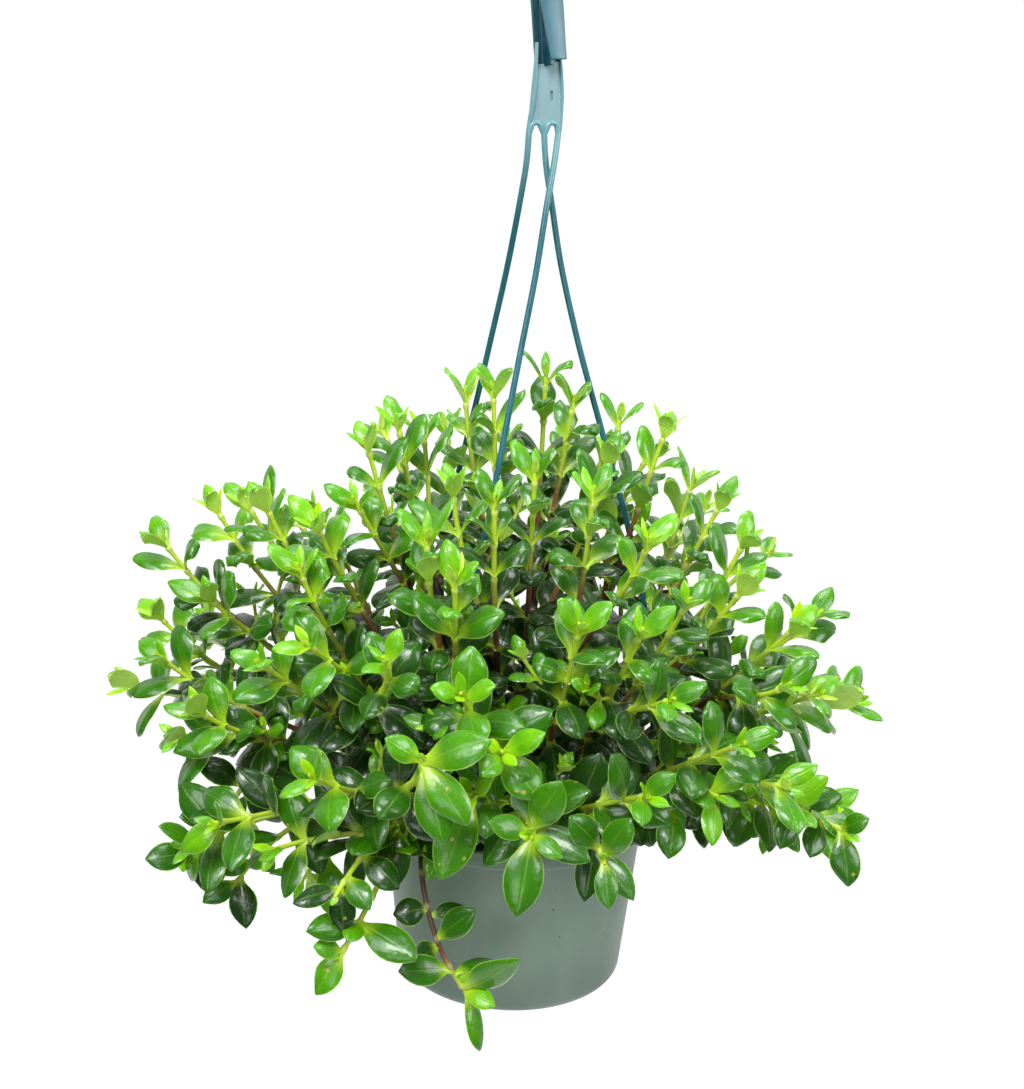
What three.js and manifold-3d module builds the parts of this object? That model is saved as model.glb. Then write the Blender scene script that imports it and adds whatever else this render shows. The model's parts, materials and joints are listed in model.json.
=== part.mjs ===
// A goldfish plant in a 6 inch hanging pot: millimetres, +Z up, origin at the centre of the pot's underside.
import * as THREE from 'three';
import { mergeVertices } from 'three/addons/utils/BufferGeometryUtils.js';
import Module from 'manifold-3d';

const degrees = THREE.MathUtils.degToRad;

// Pot.
const rimRadius = 77.5;
const potHeight = 104;
const footRadius = 65.3;
const footRound = 6;
const wall = 1.4;
const bandHeight = 9;
const bandProud = 1.5;
const rimRound = 1;
const potSegments = 36;
const drain = { count: 6, radius: 5, circle: 46 };

// Soil. A facet's middle lies facetDepth inside the circle that its corners stand on.
const soilEdge = 90;
const soilCentre = 94;
const soilSegments = 30;
const clearance = 0.35;
const facetDepth = 0.3;

// Hanger: a plate with two arches, three legs with clips, and a hook.
const hangerX = 3;
const hangerTurn = degrees(25);
const legWidth = 3.4;
const legTop = 480;
const plate = { leftFoot: 10.2, rightFoot: 9.2, rightWidest: 9.6, widestAt: 503, top: 7.5, thick: 2.2 };
const plateTop = 519;
const arch = { centres: [4.1, -5.3], radius: 2.9, top: 489 };
const rib = { foot: 490, outer: 9.8, inner: 8, width: 1.6, proud: 1.6 };
const beam = { width: 14, depth: 11, flange: 1.8, web: 2 };
const hook = { radius: 18.5, height: 568, ahead: 9 };
const clip = { width: 8, rise: 6, slope: 1.8, lip: 1.6, lipDrop: 3.5, toe: 2, toeReach: 1.3 };

// Leafy stems.
const stemRadius = 1.9;
const tipRadius = 1.0;
const tipLength = 5;
const rootDepth = 12;
const stemSides = 3;
const mainSteps = 4;
const forkSteps = 2;
const leastRise = 62;

// Leaves: a full leaf's length low down and at the crown, its width against its length, and its widths
// along it. Pairs are counted from a shoot's tip down, each turned a quarter from the last: the leaf's
// length against a full leaf, its angle from the stem, and how far it bends back.
const leafThick = 1.6;
const fullLeaf = { low: 34, high: 25, from: 150, to: 350 };
const leafShape = 0.53;
const leafRows = [[0.36, 1], [0.74, 0.8]];
const pairs = [
  { order: 0, length: 0.66, angle: 40, bend: 50 },
  { order: 1, length: 0.9, angle: 56, bend: 58 },
  { order: 4, length: 1, angle: 66, bend: 50, droop: 0.18 },
];
const forkPairs = 2;
const lowestLeaf = 0.25;
const towardsLight = 0.55;
const vary = { phase: 50, turn: 16, angle: 12, length: 0.18, bend: 20 };
const seed = 7;

const wasm = await Module();
wasm.setup();

const up = new THREE.Vector3(0, 0, 1);

// A geometry's shared vertices are merged, and it becomes a solid that can be joined and cut.
function solidOf(geometry) {
  const bare = geometry.clone();
  bare.deleteAttribute('normal');
  bare.deleteAttribute('uv');
  const merged = mergeVertices(bare, 1e-4);
  return new wasm.Manifold(new wasm.Mesh({
    numProp: 3,
    vertProperties: new Float32Array(merged.attributes.position.array),
    triVerts: new Uint32Array(merged.index.array),
  }));
}

function geometryOf(solid) {
  const { vertProperties, triVerts } = solid.getMesh();
  const geometry = new THREE.BufferGeometry();
  geometry.setAttribute('position', new THREE.BufferAttribute(vertProperties, 3));
  geometry.setIndex(new THREE.BufferAttribute(triVerts, 1));
  return geometry;
}

function namedMesh(name, solid, material) {
  const mesh = new THREE.Mesh(geometryOf(solid), material);
  mesh.name = name;
  return mesh;
}

// A closed body through rings of points, drawn in to one point at each end. Neighbouring quads are split
// in mirrored directions, so that the two faces of a thin blade are split alike.
function loft(start, rings, end) {
  const sides = rings[0].length;
  const points = [start, ...rings.flat(), end];
  const corner = (ring, side) => 1 + ring * sides + (side % sides);
  const faces = [];
  for (let side = 0; side < sides; side += 1) {
    faces.push(0, corner(0, side + 1), corner(0, side));
    faces.push(points.length - 1, corner(rings.length - 1, side), corner(rings.length - 1, side + 1));
    for (let ring = 0; ring + 1 < rings.length; ring += 1) {
      const [a, b] = [corner(ring, side), corner(ring, side + 1)];
      const [c, d] = [corner(ring + 1, side), corner(ring + 1, side + 1)];
      faces.push(...(side % 2 ? [a, b, d, a, d, c] : [a, b, c, b, d, c]));
    }
  }
  const geometry = new THREE.BufferGeometry();
  geometry.setAttribute('position', new THREE.Float32BufferAttribute(points.flatMap((p) => p.toArray()), 3));
  geometry.setIndex(faces);
  return geometry;
}

// A flat outline through corners, extruded.
function shapeOf(corners) {
  return new THREE.Shape(corners.map(([x, y]) => new THREE.Vector2(x, y)));
}

function extruded(shape, options) {
  return new THREE.ExtrudeGeometry(shape, { bevelEnabled: false, ...options });
}

// A lathe turned from the y axis to the z axis.
function turned(profile, segments) {
  const points = profile.map(([radius, height]) => new THREE.Vector2(radius, height));
  return solidOf(new THREE.LatheGeometry(points, segments).rotateX(Math.PI / 2));
}

function upright(radius, bottom, top, sides, x, y) {
  const geometry = new THREE.CylinderGeometry(radius, radius, top - bottom, sides);
  return solidOf(geometry.rotateX(Math.PI / 2).translate(x, y, (top + bottom) / 2));
}

// The wall's outside radius at a height.
function wallRadius(height) {
  const top = rimRadius - bandProud;
  return footRadius + ((top - footRadius) * height) / potHeight;
}

function makePot() {
  const arc = [0, 45, 90].map((angle) => [
    wallRadius(footRound) - footRound + footRound * Math.sin(degrees(angle)),
    footRound - footRound * Math.cos(degrees(angle)),
  ]);
  const bandBottom = potHeight - bandHeight;
  const profile = [
    [0, 0],
    ...arc,
    [wallRadius(bandBottom), bandBottom],
    [rimRadius, bandBottom],
    [rimRadius, potHeight - rimRound],
    [rimRadius - rimRound, potHeight],
    [wallRadius(potHeight) - wall, potHeight],
    [wallRadius(footRound) - wall, footRound],
    [wallRadius(footRound) - footRound, wall],
    [0, wall],
  ];
  let body = turned(profile, potSegments);
  for (let hole = 0; hole < drain.count; hole += 1) {
    const angle = (2 * Math.PI * hole) / drain.count;
    const [x, y] = [drain.circle * Math.cos(angle), drain.circle * Math.sin(angle)];
    body = body.subtract(upright(drain.radius, -wall, 2 * wall, 8, x, y));
  }
  return body;
}

function soilRadius(height) {
  return wallRadius(height) - wall - clearance - facetDepth;
}

// The soil's height at a distance from the pot's centre.
function soilHeight(reach) {
  return soilCentre + ((soilEdge - soilCentre) * reach) / soilRadius(soilEdge);
}

// Soil fills the pot, with a plain hole round each root.
function makeSoil(holes) {
  const profile = [
    [0, wall + clearance],
    [soilRadius(footRound) - footRound, wall + clearance],
    [soilRadius(footRound), footRound + 1],
    [soilRadius(soilEdge), soilEdge],
    [0, soilCentre],
  ];
  return holes.reduce((body, hole) => body.subtract(hole), turned(profile, soilSegments));
}

// The hanger's own plane: across its plate, forward out of the plate's face, and up.
const across = new THREE.Vector3(Math.cos(hangerTurn), Math.sin(hangerTurn), 0);
const forward = new THREE.Vector3(Math.sin(hangerTurn), -Math.cos(hangerTurn), 0);

// Each leg's points, hand set: it leaves the plate, bows out, and comes down outside the rim.
const legs = [
  {
    bearing: 132,
    points: [[-6.3, -3.5, 484], [-7, 0, 468], [-9.4, 6, 450], [-15, 14, 412], [-23, 26, 368],
      [-31, 36, 326], [-38.5, 45, 290], [-47, 54, 240], [-52, 58, 190]],
  },
  {
    bearing: 242,
    points: [[10, 3.2, 484], [8.3, -0.5, 466], [5.8, -6, 446], [1.8, -13, 410], [-4.2, -22, 370],
      [-12, -35, 320], [-20.5, -47, 273], [-28.5, -59, 236], [-34, -67, 190]],
  },
  {
    bearing: 3,
    points: [[2.4, 0, 484], [4.4, 2.6, 466], [8.2, 4, 446], [14.2, 4, 415], [25, 4, 374],
      [40, 4, 326], [57, 4, 273], [70, 4, 222], [76, 4, 180]],
  },
];

// A leg is five-sided, and its last points stand on the clip's outer plate.
function makeLeg({ bearing, points }) {
  const radius = rimRadius + clearance + legWidth / 2;
  const [x, y] = [radius * Math.cos(degrees(bearing)), radius * Math.sin(degrees(bearing))];
  const path = [...points, [x, y, potHeight + 36], [x, y, potHeight + 2]];
  const curve = new THREE.CatmullRomCurve3(path.map((p) => new THREE.Vector3(...p)), false, 'centripetal');
  const corners = [0, 72, 144, 216, 288].map((angle) => (
    [(legWidth / 2) * Math.cos(degrees(angle)), (legWidth / 2) * Math.sin(degrees(angle))]));
  return solidOf(extruded(shapeOf(corners), { steps: 12, extrudePath: curve }));
}

// The clip grips the rim: an outer plate, a lip over the rim's top and a toe under the band.
function makeClip(bearing) {
  const under = potHeight - bandHeight - clearance;
  const over = potHeight + clearance;
  const face = rimRadius + clearance;
  const inner = wallRadius(potHeight) - wall - 2.5 * clearance;
  const outline = shapeOf([
    [face + legWidth, under - clip.toe],
    [face + legWidth, potHeight + clip.rise],
    [face + 0.6, potHeight + clip.rise],
    [inner - clip.lip, over + clip.slope],
    [inner - clip.lip, potHeight - clip.lipDrop],
    [inner, potHeight - clip.lipDrop],
    [inner, over],
    [face, over],
    [face, under],
    [face - clip.toeReach, under],
    [face - clip.toeReach, under - clip.toe],
  ]);
  const geometry = extruded(outline, { depth: clip.width });
  geometry.translate(0, 0, -clip.width / 2).rotateX(Math.PI / 2).rotateZ(degrees(bearing));
  return solidOf(geometry);
}

// Places what is drawn flat, x across the plate and y up, in the hanger's plane.
function onHanger(geometry) {
  const place = new THREE.Matrix4().makeBasis(across, up, forward);
  place.setPosition(hangerX, 0, 0);
  return solidOf(geometry.applyMatrix4(place));
}

function makePlate() {
  const outline = shapeOf([
    [-plate.leftFoot, legTop],
    [-plate.top, plateTop],
    [plate.top, plateTop],
    [plate.rightWidest, plate.widestAt],
    [plate.rightFoot, legTop],
  ]);
  for (const centre of arch.centres) {
    outline.lineTo(centre + arch.radius, legTop);
    outline.absarc(centre, arch.top - arch.radius, arch.radius, 0, Math.PI, false);
    outline.lineTo(centre - arch.radius, legTop);
  }
  outline.closePath();
  const face = extruded(outline, { depth: plate.thick, curveSegments: 3 });
  const ribs = [-1, 1].map((side) => {
    const corners = [
      [side * rib.outer, rib.foot],
      [side * plate.top, plateTop],
      [side * (plate.top - rib.width), plateTop],
      [side * rib.inner, rib.foot],
    ];
    return extruded(shapeOf(corners), { depth: plate.thick + rib.proud });
  });
  return [face, ...ribs]
    .map((geometry) => onHanger(geometry.translate(0, 0, -plate.thick / 2)))
    .reduce((whole, piece) => whole.add(piece));
}

// The hook's I-section stem leans back and curls forward over the load line.
function makeHook() {
  const [wide, deep] = [beam.width / 2, beam.depth / 2];
  const [web, inside] = [beam.web / 2, deep - beam.flange];
  const section = shapeOf([
    [-wide, -deep], [wide, -deep], [wide, -inside], [web, -inside], [web, inside], [wide, inside],
    [wide, deep], [-wide, deep], [-wide, inside], [-web, inside], [-web, -inside], [-wide, -inside],
  ]);
  const stem = [[plateTop - 3, 4.9], [534, 3], [550, -3.5]];
  const bend = [0, 36, 72, 108, 144, 180].map((angle) => [
    hook.height + hook.radius * Math.sin(degrees(angle)),
    hook.ahead - hook.radius * Math.cos(degrees(angle)),
  ]);
  const end = [hook.height - 9, hook.ahead + hook.radius + 0.5];
  const points = [...stem, ...bend, end].map(([height, ahead]) => new THREE.Vector3(0, height, ahead));
  const extrudePath = new THREE.CatmullRomCurve3(points, false, 'centripetal');
  return onHanger(extruded(section, { steps: 12, extrudePath }));
}

function makeHanger() {
  return legs.reduce(
    (whole, leg) => whole.add(makeLeg(leg)).add(makeClip(leg.bearing)),
    makePlate().add(makeHook()),
  );
}

// A seeded draw from 0 to 1 that depends only on its keys.
function chance(...keys) {
  const mixed = keys.reduce((sum, key, place) => sum + (key + 1) * (12.9898 + 65.24 * place), seed);
  const wave = Math.sin(mixed) * 43758.5453;
  return wave - Math.floor(wave);
}

// The stems, hand set: where the tip of each shoot stands and how steeply it ends. The first shoot of a
// stem roots in the soil, and the others fork from it, at a share of its length given as from.
const stems = [
  // The crown, upright round the hanger's legs.
  [{ tip: [9, 22, 351], pitch: 88 }, { tip: [24, -8, 343], pitch: 84, from: 0.4 }],
  [{ tip: [-20, -4, 347], pitch: 86 }, { tip: [-36, 26, 338], pitch: 84, from: 0.45 }],
  [{ tip: [76, -2, 328], pitch: 74 }, { tip: [52, 30, 326], pitch: 80, from: 0.5 }],
  [{ tip: [4, -60, 315], pitch: 85 }, { tip: [42, -48, 322], pitch: 82, from: 0.45 }],
  [{ tip: [33, -92, 313], pitch: 86 }, { tip: [62, -98, 290], pitch: 70, from: 0.5 }],
  [{ tip: [-16, -98, 309], pitch: 88 }, { tip: [-38, -70, 308], pitch: 84, from: 0.5 }],
  [{ tip: [-49, -115, 294], pitch: 84 }, { tip: [-34, -134, 278], pitch: 78, from: 0.45 }],
  [{ tip: [-70, -28, 332], pitch: 80 }, { tip: [-58, -2, 322], pitch: 80, from: 0.55 }],
  [{ tip: [-85, -48, 325], pitch: 74 }, { tip: [-88, -76, 300], pitch: 60, from: 0.55 }],
  // The left side.
  [{ tip: [-107, -88, 290], pitch: 62 }],
  [{ tip: [-113, -106, 272], pitch: 68 }, { tip: [-106, -132, 241], pitch: 40, from: 0.5 }],
  [{ tip: [-139, -46, 289], pitch: 66 }, { tip: [-152, -24, 283], pitch: 62, from: 0.55 }],
  [{ tip: [-174, 6, 272], pitch: 62 }, { tip: [-150, 34, 268], pitch: 60, from: 0.55 }],
  [{ tip: [-201, -10, 256], pitch: 56 }, { tip: [-172, -34, 232], pitch: 48, from: 0.6 }],
  [{ tip: [-208, 8, 206], pitch: 50 }, { tip: [-186, 40, 196], pitch: 44, from: 0.6 }],
  [{ tip: [-196, -46, 200], pitch: 44 }, { tip: [-218, -22, 174], pitch: 14, from: 0.55 }],
  [{ tip: [-186, -62, 160], pitch: 6 }, { tip: [-168, -88, 186], pitch: 40, from: 0.5 }],
  [{ tip: [-130, -122, 226], pitch: 40 }, { tip: [-66, -148, 240], pitch: 50, from: 0.55 }],
  // The lower left, and the two shoots that trail over the rim.
  [{ tip: [-154, -128, 141], pitch: 8 }, { tip: [-172, -104, 116], pitch: -14, from: 0.6 }],
  [{ tip: [-100, -156, 181], pitch: 36 }, { tip: [-46, -172, 198], pitch: 50, from: 0.55 }],
  [{ tip: [-88, -150, 116], pitch: -34 }, { tip: [-124, -132, 128], pitch: -6, from: 0.6 }],
  [{ tip: [-96, -144, 76], pitch: -48, turn: -8 }],
  [{ tip: [-24, -122, 54], pitch: -52, heading: -60 }],
  // The front.
  [{ tip: [-28, -160, 228], pitch: 40 }, { tip: [-8, -162, 200], pitch: 30, from: 0.6 }],
  [{ tip: [27, -142, 258], pitch: 66 }],
  [{ tip: [58, -134, 254], pitch: 60 }, { tip: [74, -146, 224], pitch: 30, from: 0.55 }],
  [{ tip: [8, -160, 156], pitch: -4 }, { tip: [-22, -150, 172], pitch: 20, from: 0.6 }],
  [{ tip: [44, -156, 142], pitch: -24 }, { tip: [64, -154, 176], pitch: 24, from: 0.6 }],
  // The right side.
  [{ tip: [111, -132, 196], pitch: 34 }, { tip: [104, -116, 160], pitch: 0, from: 0.6 }],
  [{ tip: [82, -114, 264], pitch: 60 }],
  [{ tip: [113, -88, 264], pitch: 56 }, { tip: [116, -60, 282], pitch: 66, from: 0.55 }],
  [{ tip: [108, -12, 290], pitch: 66 }, { tip: [96, 30, 290], pitch: 66, from: 0.55 }],
  [{ tip: [146, -62, 236], pitch: 50 }, { tip: [138, -94, 214], pitch: 40, from: 0.6 }],
  [{ tip: [159, -70, 201], pitch: 28 }, { tip: [186, -30, 182], pitch: 20, from: 0.6 }],
  [{ tip: [138, -114, 166], pitch: 10 }],
  [{ tip: [172, -56, 112], pitch: -6 }, { tip: [150, -84, 128], pitch: 0, from: 0.6 }],
  [{ tip: [167, -8, 226], pitch: 46 }, { tip: [186, 22, 170], pitch: 12, from: 0.5 }],
];

// The far side, by rule: tips spread over the same dome, a forked shoot beside each.
const dome = { centre: [-12, 0, 115], half: [200, 185, 225] };
const farTiers = [
  { rise: 62, first: 22, step: 41, count: 4, fork: -14 },
  { rise: 38, first: 12, step: 27, count: 6, fork: 12 },
  { rise: 12, first: 32, step: 29, count: 5, fork: 0 },
];

function onDome(bearing, rise, share) {
  const level = share * Math.cos(degrees(rise));
  return [
    dome.centre[0] + dome.half[0] * level * Math.cos(degrees(bearing)),
    dome.centre[1] + dome.half[1] * level * Math.sin(degrees(bearing)),
    dome.centre[2] + dome.half[2] * share * Math.sin(degrees(rise)),
  ];
}

farTiers.forEach(({ rise, first, step, count, fork }, tier) => {
  for (let place = 0; place < count; place += 1) {
    const bearing = first + step * place + 8 * (chance(tier, place, 1) - 0.5);
    const share = 0.92 + 0.1 * chance(tier, place, 2);
    const pitch = rise * 0.75 + 8;
    const shoots = [{ tip: onDome(bearing, rise, share), pitch }];
    if (fork) {
      const tip = onDome(bearing + fork, rise + 10, share * 0.95);
      shoots.push({ tip, pitch: pitch + 10, from: 0.55 });
    }
    stems.push(shoots);
  }
});

// A pair's distance below the tip. Pairs lie further apart the further down they are.
const belowTip = (order) => 7 + 9.5 * order + 0.5 * order * order;

function bearingOf([x, y]) {
  return THREE.MathUtils.radToDeg(Math.atan2(y, x));
}

function heading(bearing, pitch) {
  const flat = Math.cos(degrees(pitch));
  return new THREE.Vector3(
    flat * Math.cos(degrees(bearing)), flat * Math.sin(degrees(bearing)), Math.sin(degrees(pitch)),
  );
}

// From a point and a direction to a point and a direction.
function bezier(start, leave, leaveBy, end, arrive, arriveBy) {
  return new THREE.CubicBezierCurve3(
    start,
    start.clone().addScaledVector(leave, leaveBy),
    end.clone().addScaledVector(arrive, -arriveBy),
    end,
  );
}

// A stem's first shoot rises out of the soil more steeply than it leans, and turns to its end's pitch.
// One that trails first rises by leastRise, to clear the rim.
function mainCurve({ tip, pitch, turn = 0, heading: end }) {
  const bearing = bearingOf(tip);
  const lean = THREE.MathUtils.radToDeg(Math.atan2(tip[2] - soilEdge, Math.hypot(tip[0], tip[1])));
  const rootReach = 6 + 50 * Math.cos(degrees(Math.max(lean, 0)));
  const root = heading(bearing + turn, 0).multiplyScalar(rootReach);
  root.z = soilHeight(rootReach) + 1.5;
  const last = new THREE.Vector3(...tip);
  const pull = 0.38 * root.distanceTo(last);
  const start = heading(bearing + turn, Math.max(90 - (90 - lean) * 0.55, 58));
  return bezier(root, start, Math.max(pull, leastRise), last, heading(end ?? bearing, pitch), pull);
}

// A fork leaves between the stem's own direction and the way to its tip.
function forkCurve(main, { tip, pitch, from }) {
  const start = middleAt(main, mainSteps, from);
  const last = new THREE.Vector3(...tip);
  const pull = 0.35 * start.distanceTo(last);
  const leave = main.getTangentAt(from).lerp(last.clone().sub(start).normalize(), 0.5).normalize();
  return bezier(start, leave, pull, last, heading(bearingOf(tip), pitch), pull);
}

// The stem's cross directions at a share of its length: level, and square to that.
function crossAt(curve, share) {
  const along = curve.getTangentAt(share);
  const chord = curve.getPoint(1).sub(curve.getPoint(0));
  const level = new THREE.Vector3().crossVectors(chord, up);
  level.addScaledVector(along, -level.dot(along)).normalize();
  return { along, level, square: new THREE.Vector3().crossVectors(level, along).negate() };
}

function ringAt(curve, share, radius) {
  const { level, square } = crossAt(curve, share);
  const centre = curve.getPointAt(share);
  return Array.from({ length: stemSides }, (unused, side) => {
    const angle = (2 * Math.PI * side) / stemSides;
    return centre.clone()
      .addScaledVector(level, radius * Math.cos(angle))
      .addScaledVector(square, radius * Math.sin(angle));
  });
}

// A level ring under the start of a curve, turned as the curve's own first ring is.
function rootRing(curve, radius, height) {
  const { level } = crossAt(curve, 0);
  const { x, y } = curve.getPoint(0);
  return Array.from({ length: stemSides }, (unused, side) => {
    const angle = Math.atan2(level.y, level.x) + (2 * Math.PI * side) / stemSides;
    return new THREE.Vector3(x + radius * Math.cos(angle), y + radius * Math.sin(angle), height);
  });
}

// The root stands upright in its hole, which is the same shape, a little larger.
function makeHole(curve) {
  const { x, y, z } = curve.getPoint(0);
  const radius = stemRadius + 2 * clearance;
  const [bottom, top] = [z - rootDepth - 2 * clearance, soilCentre + 3];
  return solidOf(loft(
    new THREE.Vector3(x, y, bottom - 1),
    [rootRing(curve, radius, bottom), rootRing(curve, radius, top)],
    new THREE.Vector3(x, y, top + 1),
  ));
}

// A shoot is lofted along straight steps of its curve. The first shoot has its root below it.
function makeShoot(curve, steps, rooted) {
  const rings = [];
  const first = curve.getPoint(0);
  if (rooted) {
    rings.push(rootRing(curve, stemRadius, first.z - rootDepth));
    rings.push(ringAt(curve, 0, stemRadius));
    first.z -= rootDepth + 0.6;
  }
  for (let step = 1; step <= steps; step += 1) {
    const share = step / steps;
    rings.push(ringAt(curve, share, THREE.MathUtils.lerp(stemRadius, tipRadius, share)));
  }
  return solidOf(loft(first, rings, curve.getPoint(1).addScaledVector(curve.getTangent(1), tipLength)));
}

// The middle of a lofted shoot at a share of its length.
function middleAt(curve, steps, share) {
  const step = Math.min(Math.floor(share * steps), steps - 1);
  return curve.getPointAt(step / steps).lerp(curve.getPointAt((step + 1) / steps), share * steps - step);
}

// A blade: three-sided across, it starts inside the stem, widens, and bends back away from its face.
// A clear gap all round it is tested with a blade that is larger by grow.
function blade({ base, along, face, length, bend }, grow) {
  const side = new THREE.Vector3().crossVectors(face, along);
  const place = (share, more = 0) => {
    const turn = degrees(bend) * share;
    const reach = length * share + more;
    const centre = base.clone()
      .addScaledVector(along, (reach * Math.sin(turn)) / turn)
      .addScaledVector(face, (-reach * (1 - Math.cos(turn))) / turn);
    const out = face.clone().multiplyScalar(Math.cos(turn)).addScaledVector(along, Math.sin(turn));
    return { centre, out };
  };
  const rings = leafRows.map(([share, width]) => {
    const { centre, out } = place(share);
    const half = (length * leafShape * width) / 2 + grow;
    const thick = leafThick / 2 + grow;
    return [
      centre.clone().addScaledVector(side, half).addScaledVector(out, -thick),
      centre.clone().addScaledVector(out, thick),
      centre.clone().addScaledVector(side, -half).addScaledVector(out, -thick),
    ];
  });
  return solidOf(loft(base, rings, place(1, grow).centre));
}

// One leaf of a pair, with small seeded changes. It stands out from the stem at its angle, and its face
// looks up the stem and towards the light.
function leafAt(curve, keys, base, share, pair, half) {
  const { along, level, square } = crossAt(curve, Math.min(share, 0.99));
  const height = (base.z - fullLeaf.from) / (fullLeaf.to - fullLeaf.from);
  const full = THREE.MathUtils.lerp(fullLeaf.low, fullLeaf.high, THREE.MathUtils.clamp(height, 0, 1));
  const phase = 45 + vary.phase * (chance(...keys, 11) - 0.5) + 90 * pair.order + 180 * half;
  const draw = (what) => chance(...keys, pair.order, half, what) - 0.5;
  return ([swing, raise], grow) => {
    const round = degrees(phase + vary.turn * draw(1) + swing);
    const out = level.clone().multiplyScalar(Math.cos(round)).addScaledVector(square, Math.sin(round));
    const angle = degrees(pair.angle + vary.angle * draw(2) + raise);
    const leafAlong = along.clone().multiplyScalar(Math.cos(angle)).addScaledVector(out, Math.sin(angle));
    leafAlong.z -= pair.droop ?? 0;
    leafAlong.normalize();
    const face = along.clone().addScaledVector(up, towardsLight);
    face.addScaledVector(leafAlong, -face.dot(leafAlong)).normalize();
    const length = full * pair.length * (1 + vary.length * draw(3));
    return blade({ base, along: leafAlong, face, length, bend: pair.bend + vary.bend * draw(4) }, grow);
  };
}

// Every leaf of a shoot, each as a function that makes it at a swing.
function leavesOf(curve, keys, steps, kept) {
  const length = curve.getLength();
  return kept.flatMap((pair) => {
    const share = 1 - belowTip(pair.order) / length;
    if (share < lowestLeaf) return [];
    const base = middleAt(curve, steps, share);
    return [0, 1].map((half) => leafAt(curve, keys, base, share, pair, half));
  });
}

// A leaf that would touch another stem's leaf is swung round its stem, or raised, until it is clear.
const swings = [[0, 0], [16, 0], [-16, 0], [0, -14], [32, -6], [-32, -6], [0, 12], [24, -22], [-24, -22]];

function apart(a, b) {
  return [0, 1, 2].some((axis) => a.min[axis] > b.max[axis] || b.min[axis] > a.max[axis]);
}

function clearOf(solid, others) {
  const box = solid.boundingBox();
  return others.every((other) => apart(box, other.box) || solid.intersect(other.solid).isEmpty());
}

const boxed = (solid) => ({ solid, box: solid.boundingBox() });

// A stem with all its shoots: each shoot's curve, and how many steps it is lofted in.
const branches = stems.map(([first, ...forks]) => {
  const main = mainCurve(first);
  return [
    { curve: main, steps: mainSteps, kept: pairs },
    ...forks.map((fork) => ({
      curve: forkCurve(main, fork),
      steps: forkSteps,
      kept: pairs.slice(0, forkPairs),
    })),
  ];
});

const pot = makePot();
const soil = makeSoil(branches.map(([main]) => makeHole(main.curve)));
const hanger = makeHanger();
const wood = branches.map((shoots) => shoots
  .map(({ curve, steps }, order) => makeShoot(curve, steps, order === 0))
  .reduce((whole, shoot) => whole.add(shoot)));

const fixed = [pot, soil, hanger].map(boxed);
const woodBoxes = wood.map(boxed);
const leafBoxes = wood.map(() => []);
const leafy = wood.map((bare, order) => {
  const isOther = (unused, other) => other !== order;
  const near = [...fixed, ...woodBoxes.filter(isOther), ...leafBoxes.filter(isOther).flat()];
  branches[order].forEach(({ curve, steps, kept }, shoot) => {
    for (const makeAt of leavesOf(curve, [order, shoot], steps, kept)) {
      const swing = swings.find((choice) => clearOf(makeAt(choice, clearance), near));
      if (swing) leafBoxes[order].push(boxed(makeAt(swing, 0)));
    }
  });
  return leafBoxes[order].reduce((whole, leaf) => whole.add(leaf.solid), bare);
});

const plastic = new THREE.MeshStandardMaterial({ color: '#7A9088', roughness: 0.45, metalness: 0 });
const teal = new THREE.MeshStandardMaterial({ color: '#4E8A92', roughness: 0.4, metalness: 0 });
const peat = new THREE.MeshStandardMaterial({ color: '#3A2A20', roughness: 0.95, metalness: 0 });
const leafGreen = new THREE.MeshStandardMaterial({ color: '#3F8A2E', roughness: 0.35, metalness: 0 });

const plant = new THREE.Group();
plant.add(namedMesh('pot', pot, plastic));
plant.add(namedMesh('soil', soil, peat));
plant.add(namedMesh('hanger', hanger, teal));
leafy.forEach((solid, order) => {
  plant.add(namedMesh(`stem_${String(order + 1).padStart(2, '0')}`, solid, leafGreen));
});

export default plant;
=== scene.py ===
import json
import math

import bpy
import numpy as np
from mathutils import Matrix, Vector, noise

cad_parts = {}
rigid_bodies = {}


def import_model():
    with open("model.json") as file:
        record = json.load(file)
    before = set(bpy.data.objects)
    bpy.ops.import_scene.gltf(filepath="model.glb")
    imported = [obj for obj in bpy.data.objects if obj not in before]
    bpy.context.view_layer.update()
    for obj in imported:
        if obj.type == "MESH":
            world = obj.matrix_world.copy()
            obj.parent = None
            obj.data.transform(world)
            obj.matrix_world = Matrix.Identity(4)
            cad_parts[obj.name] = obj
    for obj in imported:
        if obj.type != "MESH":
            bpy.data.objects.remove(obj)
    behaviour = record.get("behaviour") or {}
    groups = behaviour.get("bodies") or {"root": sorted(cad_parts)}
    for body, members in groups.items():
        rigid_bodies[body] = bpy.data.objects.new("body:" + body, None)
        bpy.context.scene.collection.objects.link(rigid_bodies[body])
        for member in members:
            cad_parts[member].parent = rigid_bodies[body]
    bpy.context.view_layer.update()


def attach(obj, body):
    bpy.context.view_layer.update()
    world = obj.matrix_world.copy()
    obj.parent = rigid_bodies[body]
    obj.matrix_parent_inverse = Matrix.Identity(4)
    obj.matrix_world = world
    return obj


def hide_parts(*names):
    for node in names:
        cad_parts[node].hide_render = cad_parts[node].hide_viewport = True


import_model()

# ---- Camera ----
# It stands a metre in front of the plant, level with the hanger's plate, and looks 16 degrees down at the
# crown, tipped 2 degrees to one side.
MM = 0.001
looks_at = Vector((-6.6, 0, 257.5)) * MM
pitch, roll, distance = math.radians(16.15), math.radians(2.03), 1.0
film_width, focal_pixels, frame_pixels = 36, 1783, 1089
ahead = Vector((0, math.cos(pitch), -math.sin(pitch)))
level, upright = Vector((1, 0, 0)), Vector((0, math.sin(pitch), math.cos(pitch)))
tipped_right = level * math.cos(roll) + upright * math.sin(roll)
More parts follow.
